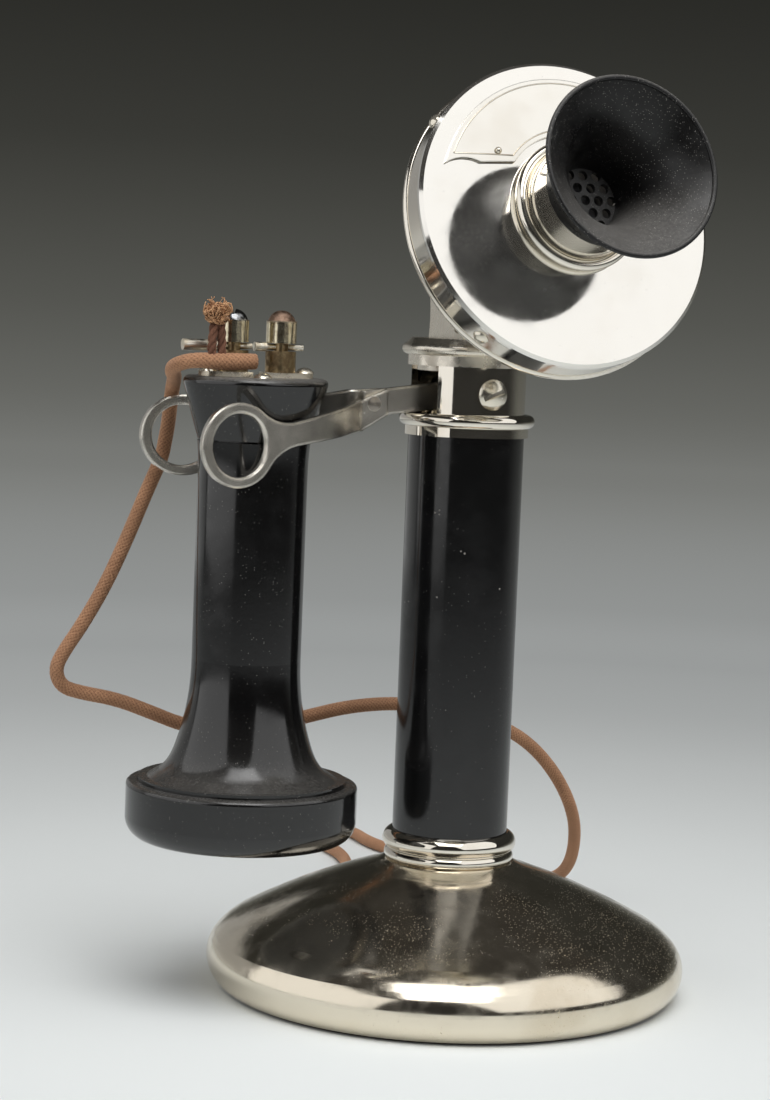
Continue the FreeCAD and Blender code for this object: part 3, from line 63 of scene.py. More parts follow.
# Cord: braided cloth, swollen near its cut end
cord_radius = 0.00225
cord_step = 0.00040
cord_sides = 48
spline_order = 3
spline_steps = 24
braid_yarns = 10
braid_relief = 0.00026
braid_under = 0.55            # height of a yarn where it passes under another
swell_share = 0.16
swell_place = 0.008           # along the cord from its cut end
swell_width = 0.007
cord_route = [
    (-0.0735, -0.0080, 0.1948),
    (-0.0840, -0.0084, 0.1944),
    (-0.0926, -0.0072, 0.1949),
    (-0.0960, 0.0010, 0.1928),
    (-0.0926, 0.0120, 0.1904),
    (-0.0880, 0.0225, 0.1890),
    (-0.0856, 0.0320, 0.1840),
    (-0.0859, 0.0334, 0.1740),
    (-0.0866, 0.0340, 0.1685),
    (-0.0873, 0.0346, 0.1630),
    (-0.0912, 0.0366, 0.1526),
    (-0.0958, 0.0392, 0.1386),
    (-0.1018, 0.0422, 0.1227),
    (-0.1082, 0.0450, 0.1098),
    (-0.1128, 0.0464, 0.1024),
    (-0.1158, 0.0474, 0.0962),
    (-0.1136, 0.0482, 0.0904),
    (-0.1074, 0.0484, 0.0882),
    (-0.0956, 0.0474, 0.0860),
    (-0.0846, 0.0464, 0.0818),
    (-0.0738, 0.0454, 0.0774),
    (-0.0610, 0.0446, 0.0752),
    (-0.0466, 0.0448, 0.0760),
    (-0.0317, 0.0464, 0.0788),
    (-0.0143, 0.0500, 0.0814),
    (0.0053, 0.0540, 0.0814),
    (0.0256, 0.0582, 0.0782),
    (0.0400, 0.0612, 0.0738),
    (0.0522, 0.0644, 0.0688),
    (0.0620, 0.0676, 0.0628),
    (0.0704, 0.0710, 0.0556),
    (0.0778, 0.0748, 0.0476),
    (0.0840, 0.0790, 0.0392),
    (0.0888, 0.0840, 0.0310),
    (0.0922, 0.0900, 0.0230),
    (0.0948, 0.0970, 0.0152),
    (0.0964, 0.1056, 0.0086),
    (0.0968, 0.1156, 0.0040),
    (0.0952, 0.1266, 0.0024),
    (0.0910, 0.1390, 0.0023),
    (0.0834, 0.1530, 0.0023),
    (0.0736, 0.1656, 0.0023),
    (0.0650, 0.1780, 0.0023),
    (0.0606, 0.1920, 0.0023),
    (0.0598, 0.2050, 0.0023),
    (0.0610, 0.2174, 0.0023),
    (0.0574, 0.2290, 0.0023),
    (0.0474, 0.2354, 0.0023),
    (0.0368, 0.2310, 0.0023),
    (0.0336, 0.2196, 0.0023),
    (0.0372, 0.2080, 0.0023),
    (0.0404, 0.1960, 0.0023),
    (0.0400, 0.1830, 0.0023),
    (0.0372, 0.1700, 0.0023),
    (0.0324, 0.1576, 0.0023),
    (0.0250, 0.1420, 0.0023),
    (0.0164, 0.1274, 0.0026),
    (0.0084, 0.1144, 0.0038),
    (0.0028, 0.1020, 0.0062),
    (0.0006, 0.0910, 0.0088),
    (0.0, 0.0833, 0.0105),
    (0.0, 0.0773, 0.0105),
]

# Frayed end of the cord; tones are heights in the weave, dark at 0 and light at 1
strand_seed = 7
strand_places = [(-0.0874, -0.0080), (-0.0842, -0.0080)]
strand_foot = 0.1948
strand_top = 0.2056
strand_radius = 0.0014
strand_plies = 3
strand_lay = 0.0085           # length of one twist
strand_points = 26
strand_lean = 0.35            # share of the way to the tuft's middle
strand_tones = (0.35, 0.7)
ply_reach = 0.48              # of the strand's radius
ply_radius = 0.52
ply_sides = 10
tuft_seed = 21
tuft_centre = (-0.0858, -0.0080)
tuft_reach = 0.0046
tuft_depth = 0.9              # of its width
tuft_top = 0.2136
tuft_over = 0.0006            # past the strands below and the top above
tuft_tones = (0.35, 1.0)
tuft_yarns = 60
tuft_fibres = 150
tuft_sides = 5
yarn_radii = (0.00036, 0.00052)
fibre_radii = (0.00011, 0.00020)
yarn_taper = 0.7
curl_points = 9
curl_spread = 0.22            # of the tuft's reach, as the next three are
curl_drop = 0.35
curl_step = 0.16
curl_limit = 0.95
curl_rise = 0.7               # upward lean of a yarn's first heading
curl_turns = (0.2, 0.8)

# Felt under the base
felt_seed = 5
felt_radius = 0.0696
felt_eye = 0.0004             # radius of its innermost rings
felt_top = 0.0030
felt_soft = 0.0005            # rounding of its edge
felt_sides = 180
felt_uneven = (-0.00012, 0.00005)
felt_tone = 0.6

# Bead round the badge plate, in the axes of the transmitter's face: its crown as radii and heights
face_crown = [(0.0449, 0.0645), (0.0327, 0.067425), (0.0149, 0.07015)]
face_lean = 71.9              # degrees
face_pivot = 0.2211           # height of the axes
face_facing = (0.90, 0.95)    # agreement with the face's axis over which its shading is flattened
badge_lift = 0.0009
border_radius = 0.00024
border_outer = 0.0385
border_inner = 0.0233
border_outer_angle = 23.5
border_inner_angle = 38.7
border_outer_points = 60
border_inner_points = 40
border_step = 0.0004
border_sides = 8

# Sweep: greys by the run from the stem, out over the floor and up the backdrop, painted light: a pale pool
# near the telephone that falls off into painted shade
sweep_reach = 6.0
sweep_pale = 0.3              # grey from which the warm tint is gone
warm_tint = (1.0, 1.0, 0.85)
pale_tint = (1.0, 1.035, 1.028)
painted_falloff_greys = [
    (0.00, 0.85), (0.12, 0.775), (0.31, 0.64), (0.45, 0.57), (0.60, 0.455), (0.80, 0.340), (1.08, 0.285),
    (2.04, 0.213), (2.57, 0.180), (2.79, 0.134), (3.07, 0.091), (3.31, 0.062), (3.48, 0.041), (3.80, 0.021),
]
sweep_flat = 2.4              # radius where the floor starts to rise
sweep_curve = 0.7
sweep_rings = [0.001, 0.4, 1.0, 1.8]
sweep_heights = [1.6, 3.0]
sweep_sides = 96
curve_steps = 12
glow_run = (0.35, 0.95)       # from lit floor to its painted tone
unlit_run = (0.9, 1.4)        # from pale to painted shade on the camera's side
unlit_share = 0.88
unlit_facing = (-0.1, 0.6)
# painted shade on the camera's side of the floor
unlit_colour = (0.012, 0.011, 0.010)

# Lamps: name, degrees to the camera's right, elevation, distance, width, height, radiance, in gloss
lamp_target = (0, 0, 0.12)
lamps = [
    ("left_panel", -66, 18, 1.25, 1.9, 1.15, 1.0, True),
    ("back_left_panel", -132, 8, 1.25, 1.3, 0.6, 0.3, True),
    ("front_box", 58, 40, 1.30, 1.9, 1.7, 1.05, True),
    ("key_box", 2, 60, 1.35, 0.85, 0.95, 3.2, True),
    ("overhead", 10, 80, 1.5, 1.6, 1.6, 1.5, False),
]
world_colour = (0.03, 0.028, 0.025, 1)

# Dirt and wear, with painted highlight on rubbed edges and painted light on faces that look up
tarnish_tint = (0.62, 0.54, 0.42)
rubbed_highlit_turns = (0.02, 0.12)   # turn of the surface from which an edge is rubbed and given a painted highlight
# pale edge colour: rubbed nickel and painted highlight
rubbed_highlit_nickel = (0.95, 0.91, 0.82)
nickel_dust = (0.78, 0.75, 0.69)
bared_brass = (0.62, 0.50, 0.33)
# pale film on faces that look up: settled dust and painted light from above
dust_and_light_film = (0.22, 0.21, 0.195)
dust_grain = (0.42, 0.40, 0.37)
chipped_enamel = (0.33, 0.31, 0.28)
steel_shade = 0.6             # dark patches, as a share of the plain colour
fibre_shade = 0.55
cloth_fade = 1.25             # faded patches, measured the same way
cloth_sheen = (0.75, 0.52, 0.40, 1)

# Clamp nuts: between the two, where their domes start, and their colours with darker patches
nut_split = (-0.0702, -0.0700)
nut_dome = (0.2062, 0.2072)
nut_sides = [(0.80, 0.72, 0.53), (0.58, 0.50, 0.35)]
nut_copper = [(0.40, 0.27, 0.20), (0.20, 0.13, 0.09)]
nut_grey = [(0.36, 0.37, 0.39), (0.22, 0.22, 0.22)]


# Camera

def camera_axes():
    """Right, up and backward directions of the camera, and its place."""
    azimuth = math.radians(camera_azimuth)
    yaw = math.radians(camera_azimuth + camera_yaw)
    pitch = math.radians(camera_pitch)
    roll = math.radians(camera_roll)
    place = Vector((
        math.sin(azimuth) * camera_distance,
        -math.cos(azimuth) * camera_distance,
        camera_height,
    ))
    forward = Vector((
        -math.sin(yaw) * math.cos(pitch),
        math.cos(yaw) * math.cos(pitch),
        -math.sin(pitch),
    ))
    right = forward.cross(Vector((0, 0, 1))).normalized()
    up = right.cross(forward)
    rolled_right = right * math.cos(roll) + up * math.sin(roll)
    rolled_up = up * math.cos(roll) - right * math.sin(roll)
    return rolled_right, rolled_up, -forward, place


def make_camera():
    """Camera whose lens is fitted to the picture's longer side, its height."""
    data = bpy.data.cameras.new("camera")
    data.sensor_width = sensor
    data.lens = camera_focal * sensor / image_height
    data.clip_start = clip_near
    data.clip_end = clip_far
    camera = bpy.data.objects.new("camera", data)
    bpy.context.scene.collection.objects.link(camera)
    right, up, back, place = camera_axes()
    matrix = Matrix.Identity(4)
    for column, axis in enumerate((right, up, back, place)):
        for row in range(3):
            matrix[row][column] = axis[row]
    camera.matrix_world = matrix
    bpy.context.scene.camera = camera


# Shader helpers

def new_look(name):
    """New material with its node tree and its principled shader."""
    material = bpy.data.materials.new(name)
    material.use_nodes = True
    tree = material.node_tree
    return material, tree, tree.nodes["Principled BSDF"]


def feed(tree, socket, value):
    """Links a socket to an input, or sets the input to a plain value."""
    if isinstance(value, bpy.types.NodeSocket):
        tree.links.new(value, socket)
    elif isinstance(value, tuple) and len(value) == 3 and socket.type == "RGBA":
        socket.default_value = (*value, 1)
    else:
        socket.default_value = value


def place_of(tree):
    """Object coordinates, in metres."""
    return tree.nodes.new("ShaderNodeTexCoord").outputs["Object"]


def axis_of(tree, vector, axis):
    """One number of a vector: 0, 1 or 2 for X, Y or Z."""
    split = tree.nodes.new("ShaderNodeSeparateXYZ")
    tree.links.new(vector, split.inputs[0])
    return split.outputs[axis]


def noise(tree, scale, detail=3.0, roughness=0.55):
    """Soft random pattern with a scale in cells per metre."""
    node = tree.nodes.new("ShaderNodeTexNoise")
    tree.links.new(place_of(tree), node.inputs["Vector"])
    node.inputs["Scale"].default_value = scale
    node.inputs["Detail"].default_value = detail
    node.inputs["Roughness"].default_value = roughness
    return node.outputs["Fac"]


def ramp(tree, value, low, high, first=0.0, last=1.0):
    """Smooth step from first to last as a value goes from low to high."""
    node = tree.nodes.new("ShaderNodeMapRange")
    node.interpolation_type = "SMOOTHSTEP"
    feed(tree, node.inputs["Value"], value)
    node.inputs["From Min"].default_value = low
    node.inputs["From Max"].default_value = high
    node.inputs["To Min"].default_value = first
    node.inputs["To Max"].default_value = last
    return node.outputs["Result"]


def sums(tree, operation, first, second):
    """One step of arithmetic on two values."""
    node = tree.nodes.new("ShaderNodeMath")
    node.operation = operation
    feed(tree, node.inputs[0], first)
    feed(tree, node.inputs[1], second)
    return node.outputs[0]


def facing_share(tree, first, second):
    """How far two directions agree, 1 where they are the same."""
    node = tree.nodes.new("ShaderNodeVectorMath")
    node.operation = "DOT_PRODUCT"
    tree.links.new(first, node.inputs[0])
    tree.links.new(second, node.inputs[1])
    return node.outputs["Value"]


def blend_colour(tree, share, first, second):
    """Mix of two colours; the mix node's colours are its inputs 6 and 7."""
    node = tree.nodes.new("ShaderNodeMix")
    node.data_type = "RGBA"
    feed(tree, node.inputs[0], share)
    feed(tree, node.inputs[6], first)
    feed(tree, node.inputs[7], second)
    return node.outputs[2]


def blend_direction(tree, share, first, second):
    """Mix of two directions; the mix node's vectors are its inputs 4 and 5."""
    node = tree.nodes.new("ShaderNodeMix")
    node.data_type = "VECTOR"
    tree.links.new(share, node.inputs[0])
    tree.links.new(first, node.inputs[4])
    tree.links.new(second, node.inputs[5])
    return node.outputs[1]


def true_normal(tree):
    """Surface normal in the axes of the scene."""
    return tree.nodes.new("ShaderNodeNewGeometry").outputs["Normal"]


def specks(tree, scale, share, size):
    """Small round spots in a share of the cells of a pattern with that scale."""
    cells = tree.nodes.new("ShaderNodeTexVoronoi")
    tree.links.new(place_of(tree), cells.inputs["Vector"])
    cells.inputs["Scale"].default_value = scale
    spot = ramp(tree, cells.outputs["Distance"], size * 0.6, size, 1.0, 0.0)
    chance = axis_of(tree, cells.outputs["Color"], 0)
    chosen = ramp(tree, chance, 1 - share, 1 - share * 0.8)
    return sums(tree, "MULTIPLY", spot, chosen)


def bump(tree, shader, height, depth, strength, normal=None):
    """Fine relief of a look, with its depth in metres."""
    node = tree.nodes.new("ShaderNodeBump")
    node.inputs["Strength"].default_value = strength
    node.inputs["Distance"].default_value = depth
    tree.links.new(height, node.inputs["Height"])
    if normal is not None:
        tree.links.new(normal, node.inputs["Normal"])
    tree.links.new(node.outputs["Normal"], shader.inputs["Normal"])


def edge_wear_and_highlight(tree, radius, low, high):
    """How sharply the surface turns within a radius, from 0 to 1 on edges, and its rounded normal."""
    rounded = tree.nodes.new("ShaderNodeBevel")
    rounded.inputs["Radius"].default_value = radius
    normal = rounded.outputs["Normal"]
    return ramp(tree, facing_share(tree, normal, true_normal(tree)), 1 - low, 1 - high), normal


# Metals

def flatter_normal(tree, normal, share):
    """Normal of the crowned face, the true one if none is given, leaned part of the way to its axis."""
    if normal is None:
        normal = true_normal(tree)
    lean = math.radians(face_lean)
    axis = tree.nodes.new("ShaderNodeVectorTransform")
    axis.vector_type = "VECTOR"
    axis.convert_from = "OBJECT"
    axis.convert_to = "WORLD"
    axis.inputs[0].default_value = (0, -math.sin(lean), math.cos(lean))
    ahead = axis.outputs[0]
    on_face = ramp(tree, facing_share(tree, normal, ahead), *face_facing, 0.0, share)
    return blend_direction(tree, on_face, normal, ahead)


def nickel_look(
    name, colour, rough, tarnish=0.25, film=0.03, speck_share=0.0, speck_colour=None, soft_edge=0.0,
    flatter=0.0, haze=(0.7, 1.5),
):
    """Warm nickel plate with clouded gloss, a thin film of dirt, pin holes and rubbed edges paled as wear
    and painted highlight.
    """
    material, tree, shader = new_look(name)
    stain = tuple(c * t for c, t in zip(colour, tarnish_tint))
    cloud = ramp(tree, noise(tree, 45), 0.48, 0.75, 0.0, tarnish)
    base = blend_colour(tree, cloud, colour, stain)
    gloss = ramp(tree, noise(tree, 160, detail=5), 0.35, 0.75, rough * haze[0], rough * haze[1])
    clear = ramp(tree, noise(tree, 70, detail=5, roughness=0.6), 0.3, 0.75, 1 - film * 1.5, 1 - film * 0.5)
    relief = sums(tree, "MULTIPLY", noise(tree, 900, detail=2), 0.12)
    if speck_share:
        coarse = specks(tree, 800, share=speck_share * 0.3, size=0.2)
        fine = specks(tree, 2100, share=speck_share, size=0.3)
        patches = ramp(tree, noise(tree, 22, detail=5, roughness=0.65), 0.38, 0.68)
        spots = sums(tree, "MULTIPLY", sums(tree, "MAXIMUM", coarse, fine), patches)
        base = blend_colour(tree, spots, base, speck_colour)
        gloss = sums(tree, "ADD", gloss, sums(tree, "MULTIPLY", spots, 0.4))
        clear = sums(tree, "SUBTRACT", clear, sums(tree, "MULTIPLY", spots, 0.8))
        relief = sums(tree, "SUBTRACT", relief, spots)
    normal = None
    if soft_edge:
        rubbed_and_lit, normal = edge_wear_and_highlight(tree, soft_edge, *rubbed_highlit_turns)
        # Edges paled with rubbed wear and painted highlight
        base = blend_colour(tree, rubbed_and_lit, base, rubbed_highlit_nickel)
    if flatter:
        normal = flatter_normal(tree, normal, flatter)
    tree.links.new(base, shader.inputs["Base Color"])
    tree.links.new(gloss, shader.inputs["Roughness"])
    tree.links.new(clear, shader.inputs["Metallic"])
    bump(tree, shader, relief, depth=0.00002, strength=0.6, normal=normal)
    return material


def brass_look(name, colour, dark, rough):
    """Brass browned unevenly by age."""
    material, tree, shader = new_look(name)
    patina = ramp(tree, noise(tree, 380, detail=5, roughness=0.6), 0.4, 0.62)
    base = blend_colour(tree, patina, colour, dark)
    tree.links.new(base, shader.inputs["Base Color"])
    tree.links.new(ramp(tree, patina, 0, 1, rough, rough * 2), shader.inputs["Roughness"])
    shader.inputs["Metallic"].default_value = 1.0
    bump(tree, shader, noise(tree, 1500, detail=3), depth=0.00003, strength=0.5)
    return material


def steel_look(name, colour, rough, metallic=1.0):
    """Plain steel or iron with fine uneven grain."""
    material, tree, shader = new_look(name)
    grain = noise(tree, 260, detail=6, roughness=0.65)
    darker = tuple(c * steel_shade for c in colour)
    base = blend_colour(tree, ramp(tree, grain, 0.35, 0.7), colour, darker)
    tree.links.new(base, shader.inputs["Base Color"])
    tree.links.new(ramp(tree, grain, 0.3, 0.7, rough, rough * 1.5), shader.inputs["Roughness"])
    shader.inputs["Metallic"].default_value = metallic
    bump(tree, shader, noise(tree, 1200, detail=4), depth=0.00004, strength=0.5)
    return material


def nut_look():
    """Left clamp nut of grey nickel, right one with its dome worn to pink copper."""
    material, tree, shader = new_look("clamp_nuts")
    place = place_of(tree)
    right_side = ramp(tree, axis_of(tree, place, 0), *nut_split)
    dome = ramp(tree, axis_of(tree, place, 2), *nut_dome)
    patch = noise(tree, 520, detail=4)
    side = blend_colour(tree, ramp(tree, patch, 0.4, 0.65), *nut_sides)
    copper = blend_colour(tree, ramp(tree, patch, 0.4, 0.6), *nut_copper)
    grey = blend_colour(tree, ramp(tree, patch, 0.4, 0.6), *nut_grey)
    top = blend_colour(tree, right_side, grey, copper)
    tree.links.new(blend_colour(tree, dome, side, top), shader.inputs["Base Color"])
    worn = sums(tree, "MULTIPLY", dome, right_side)
    tree.links.new(ramp(tree, worn, 0, 1, 0.2, 0.55), shader.inputs["Roughness"])
    shader.inputs["Metallic"].default_value = 1.0
    bump(tree, shader, noise(tree, 1500, detail=3), depth=0.00004, strength=0.5)
    return material


# Blacks

def black_look(name, colour, rough, gloss_level, dust, dust_and_light_up, chips=0.0):
    """Black rubber or enamel with dust, more of it on faces that look up, where the paler film is also
    painted light from above.
    """
    material, tree, shader = new_look(name)
    up = axis_of(tree, tree.nodes.new("ShaderNodeTexCoord").outputs["Normal"], 2)
    # Paler on faces that look up: dust and painted light from above
    settled_dust_and_light = ramp(tree, up, 0.1, 0.95, 0.0, dust_and_light_up)
    uneven = ramp(tree, noise(tree, 1100, detail=6, roughness=0.75), 0.30, 0.75, 0.45, 1.0)
    film = sums(tree, "MULTIPLY", settled_dust_and_light, uneven)
    base = blend_colour(tree, film, colour, dust_and_light_film)
    coarse = specks(tree, 900, share=dust * 0.2, size=0.16)
    fine = specks(tree, 2200, share=dust, size=0.30)
    patches = ramp(tree, noise(tree, 60, detail=4, roughness=0.6), 0.35, 0.65, 0.1, 0.7)
    grains = sums(tree, "MULTIPLY", sums(tree, "MAXIMUM", coarse, fine), patches)
    base = blend_colour(tree, grains, base, dust_grain)
    haze = ramp(tree, noise(tree, 120, detail=5, roughness=0.6), 0.35, 0.75, rough * 0.75, rough * 1.4)
    gloss = sums(tree, "ADD", haze, sums(tree, "MULTIPLY", film, 0.5))
    relief = sums(tree, "MULTIPLY", noise(tree, 700, detail=3), 0.3)
    if chips:
        patches = ramp(tree, noise(tree, 38, detail=2), 0.56, 0.66)
        flaw = sums(tree, "MULTIPLY", specks(tree, 900, share=chips, size=0.34), patches)
        base = blend_colour(tree, flaw, base, chipped_enamel)
        relief = sums(tree, "SUBTRACT", relief, flaw)
        gloss = sums(tree, "ADD", gloss, sums(tree, "MULTIPLY", flaw, 0.3))
    tree.links.new(base, shader.inputs["Base Color"])
    tree.links.new(gloss, shader.inputs["Roughness"])
    shader.inputs["Specular IOR Level"].default_value = gloss_level
    bump(tree, shader, relief, depth=0.00004, strength=0.5)
    return material


def plain_look(name, colour, rough):
    """Fibre, gasket or covered wire, mottled and matt."""
    material, tree, shader = new_look(name)
    mottle = noise(tree, 420, detail=5, roughness=0.6)
    darker = tuple(c * fibre_shade for c in colour)
    base = blend_colour(tree, ramp(tree, mottle, 0.35, 0.7), colour, darker)
    gloss = ramp(tree, mottle, 0.3, 0.7, rough * 0.8, min(1.0, rough * 1.2))
    tree.links.new(base, shader.inputs["Base Color"])
    tree.links.new(gloss, shader.inputs["Roughness"])
    bump(tree, shader, noise(tree, 1600, detail=3), depth=0.00005, strength=0.6)
    return material


def cloth_look(name, light, dark, fuzz):
    """Cotton yarn: the yarn's height in the weave darkens its gaps with painted shade, with faded flecks.
    """
    material, tree, shader = new_look(name)
    height = tree.nodes.new("ShaderNodeAttribute")
    height.attribute_name = "weave"
    fade = ramp(tree, noise(tree, 90, detail=4), 0.35, 0.7)
    thread = ramp(tree, noise(tree, 2600, detail=3, roughness=0.7), 0.3, 0.7)
    # Painted shade in the gaps between yarns, light on their crowns
    unshaded_crowns = ramp(tree, height.outputs["Fac"], 0.1, 0.9)
    shade = sums(tree, "MULTIPLY", unshaded_crowns, ramp(tree, thread, 0, 1, 0.55, 1.0))
    faded = tuple(min(1.0, c * cloth_fade) for c in light)
    top = blend_colour(tree, fade, light, faded)
    tree.links.new(blend_colour(tree, shade, dark, top), shader.inputs["Base Color"])
    shader.inputs["Roughness"].default_value = 0.92
    shader.inputs["Specular IOR Level"].default_value = 0.15
    shader.inputs["Sheen Weight"].default_value = fuzz
    shader.inputs["Sheen Roughness"].default_value = 0.5
    shader.inputs["Sheen Tint"].default_value = cloth_sheen
    bump(tree, shader, noise(tree, 5200, detail=3), depth=0.00012, strength=0.7)
    return material


# Meshes

def add_mesh(name, points, faces, material):
    """Smooth-shaded piece from points and faces."""
    data = bpy.data.meshes.new(name)
    data.from_pydata([tuple(p) for p in points], [], faces)
    data.update()
    data.materials.append(material)
    data.polygons.foreach_set("use_smooth", [True] * len(data.polygons))
    piece = bpy.data.objects.new(name, data)
    bpy.context.scene.collection.objects.link(piece)
    return piece


def ring_faces(rings, sides, capped=True):
    """Quads between closed rings of points, and a cap on each end."""
    faces = []
    for ring in range(rings - 1):
        low = ring * sides
        high = low + sides
        for side in range(sides):
            after = (side + 1) % sides
            faces.append((low + side, low + after, high + after, high + side))
    if capped:
        faces.append(tuple(reversed(range(sides))))
        last = (rings - 1) * sides
        faces.append(tuple(range(last, last + sides)))
    return faces


def spline_points(route):
    """Points along the smooth line that a route controls."""
    curve = bpy.data.curves.new("route", "CURVE")
    curve.dimensions = "3D"
    curve.resolution_u = spline_steps
    spline = curve.splines.new("NURBS")
    spline.points.add(len(route) - 1)
    for point, place in zip(spline.points, route):
        point.co = (*place, 1)
    spline.order_u = spline_order
    spline.use_endpoint_u = True
    holder = bpy.data.objects.new("route", curve)
    bpy.context.scene.collection.objects.link(holder)
    bpy.context.view_layer.update()
    line = bpy.data.meshes.new_from_object(holder)
    points = np.array([v.co for v in line.vertices])
    bpy.data.objects.remove(holder)
    bpy.data.curves.remove(curve)
    bpy.data.meshes.remove(line)
    return points


def even_points(points, step):
    """The same line with points a step apart, and how far along it each one is."""
    runs = np.linalg.norm(np.diff(points, axis=0), axis=1)
    along = np.concatenate([[0], np.cumsum(runs)])
    wanted = np.linspace(0, along[-1], int(round(along[-1] / step)) + 1)
    even = np.stack([np.interp(wanted, along, points[:, k]) for k in range(3)], axis=1)
    return even, wanted


def side_axes(points):
    """Two directions square to a line at each of its points, without twist."""
    tangents = np.gradient(points, axis=0)
    tangents /= np.linalg.norm(tangents, axis=1)[:, None]
    first = np.cross(tangents[0], [0.0, 0.0, 1.0])
    if np.linalg.norm(first) < 0.1:
        first = np.cross(tangents[0], [1.0, 0.0, 0.0])
    first /= np.linalg.norm(first)
    firsts = [first]
    for tangent in tangents[1:]:
        kept = firsts[-1] - tangent * np.dot(firsts[-1], tangent)
        firsts.append(kept / np.linalg.norm(kept))
    firsts = np.array(firsts)
    return firsts, np.cross(tangents, firsts)


def weave_height(turn, along, lead, yarns):
    """Height from 0 to 1 of a plain braid, at turns round the cord and lengths along it."""
    right = yarns * (turn + along / lead)
    left = yarns * (turn - along / lead)
    right_top = (np.floor(right) + np.floor(left)) % 2 < 0.5
    right_crown = np.sin(np.pi * (right % 1.0))
    left_crown = np.sin(np.pi * (left % 1.0))
    right_height = right_crown * np.where(right_top, 1.0, braid_under)
    left_height = left_crown * np.where(right_top, braid_under, 1.0)
    return np.maximum(right_height, left_height)


def set_weave(piece, values):
    """Stores the height in the weave at each point, from 0 to 1."""
    attribute = piece.data.attributes.new("weave", "FLOAT", "POINT")
    attribute.data.foreach_set("value", np.asarray(values, np.float32).ravel())


def braided_cord(material):
    """The whole cord as one braided tube, swollen and cut at the receiver's end."""
    line, along = even_points(spline_points(cord_route), cord_step)
    first, second = side_axes(line)
    turn = np.arange(cord_sides) / cord_sides
    lead = 2 * math.pi * cord_radius
    height = weave_height(turn[None, :], along[:, None], lead, braid_yarns)
    swell = 1 + swell_share * np.exp(-((along - swell_place) / swell_width) ** 2)
    radius = cord_radius * swell[:, None] - braid_relief * (1 - height)
    angle = 2 * math.pi * turn
    points = (
        line[:, None, :]
        + first[:, None, :] * (radius * np.cos(angle))[:, :, None]
        + second[:, None, :] * (radius * np.sin(angle))[:, :, None]
    )
    piece = add_mesh("cord", points.reshape(-1, 3), ring_faces(len(line), cord_sides), material)
    set_weave(piece, height)
    return piece, line


def yarn_tube(line, radius, sides):
    """Points and faces of a thin round yarn whose radius may change along it."""
    first, second = side_axes(line)
    angle = 2 * math.pi * np.arange(sides) / sides
    radius = np.broadcast_to(radius, (len(line),))
    points = (
        line[:, None, :]
        + first[:, None, :] * (radius[:, None] * np.cos(angle)[None, :])[:, :, None]
        + second[:, None, :] * (radius[:, None] * np.sin(angle)[None, :])[:, :, None]
    )
    return points.reshape(-1, 3), ring_faces(len(line), sides)


def joined_yarns(name, yarns, material):
    """One piece made of many yarns, each given as a line, a radius, a side count and a tone."""
    points = []
    faces = []
    weave = []
    for line, radius, sides, tone in yarns:
        yarn_points, yarn_faces = yarn_tube(line, radius, sides)
        start = len(points)
        points.extend(yarn_points)
        faces.extend(tuple(index + start for index in face) for face in yarn_faces)
        weave.extend([tone] * len(yarn_points))
    piece = add_mesh(name, points, faces, material)
    set_weave(piece, weave)
    return piece


def frayed_strands(material):
    """Two laced strands of twisted yarns, from the cord up to the tuft."""
    draw = random.Random(strand_seed)
    yarns = []
    for x, y in strand_places:
        for ply in range(strand_plies):
            heights = np.linspace(strand_foot, strand_top, strand_points)
            turns = 2 * math.pi * (ply / strand_plies + (heights - strand_foot) / strand_lay)
            reach = strand_radius * ply_reach
            lean = (heights - strand_foot) / (strand_top - strand_foot)
            line = np.stack([
                x + reach * np.cos(turns) + (tuft_centre[0] - x) * strand_lean * lean ** 2,
                y + reach * np.sin(turns),
                heights,
            ], axis=1)
            yarns.append((line, strand_radius * ply_radius, ply_sides, draw.uniform(*strand_tones)))
    return joined_yarns("cord_strands_laced", yarns, material)


def frayed_tuft(material):
    """Loose ends of the braid: curled yarn ends and finer fibres that fill an uneven ball."""
    draw = random.Random(tuft_seed)
    centre = Vector((*tuft_centre, (strand_top + tuft_top) / 2))
    reach = Vector((tuft_reach, tuft_reach * tuft_depth, (tuft_top - strand_top) / 2 + tuft_over))
    yarns = []
    for radii in [yarn_radii] * tuft_yarns + [fibre_radii] * tuft_fibres:
        thick = draw.uniform(*radii)
        place = Vector([draw.gauss(0, curl_spread) for _ in range(3)]) - Vector((0, 0, curl_drop))
        heading = Vector([draw.gauss(0, 1) for _ in range(3)]) + Vector((0, 0, curl_rise))
        turn = Vector([draw.gauss(0, 1) for _ in range(3)]).normalized() * draw.uniform(*curl_turns)
        line = []
        for _ in range(curl_points):
            line.append([centre[k] + reach[k] * place[k] for k in range(3)])
            heading = (heading + heading.cross(turn)).normalized()
            place = place + heading * curl_step
            if place.length > curl_limit:
                place *= curl_limit / place.length
        taper = np.linspace(thick, thick * yarn_taper, curl_points)
        yarns.append((np.array(line), taper, tuft_sides, draw.uniform(*tuft_tones)))
    return joined_yarns("cord_tuft_frayed", yarns, material)


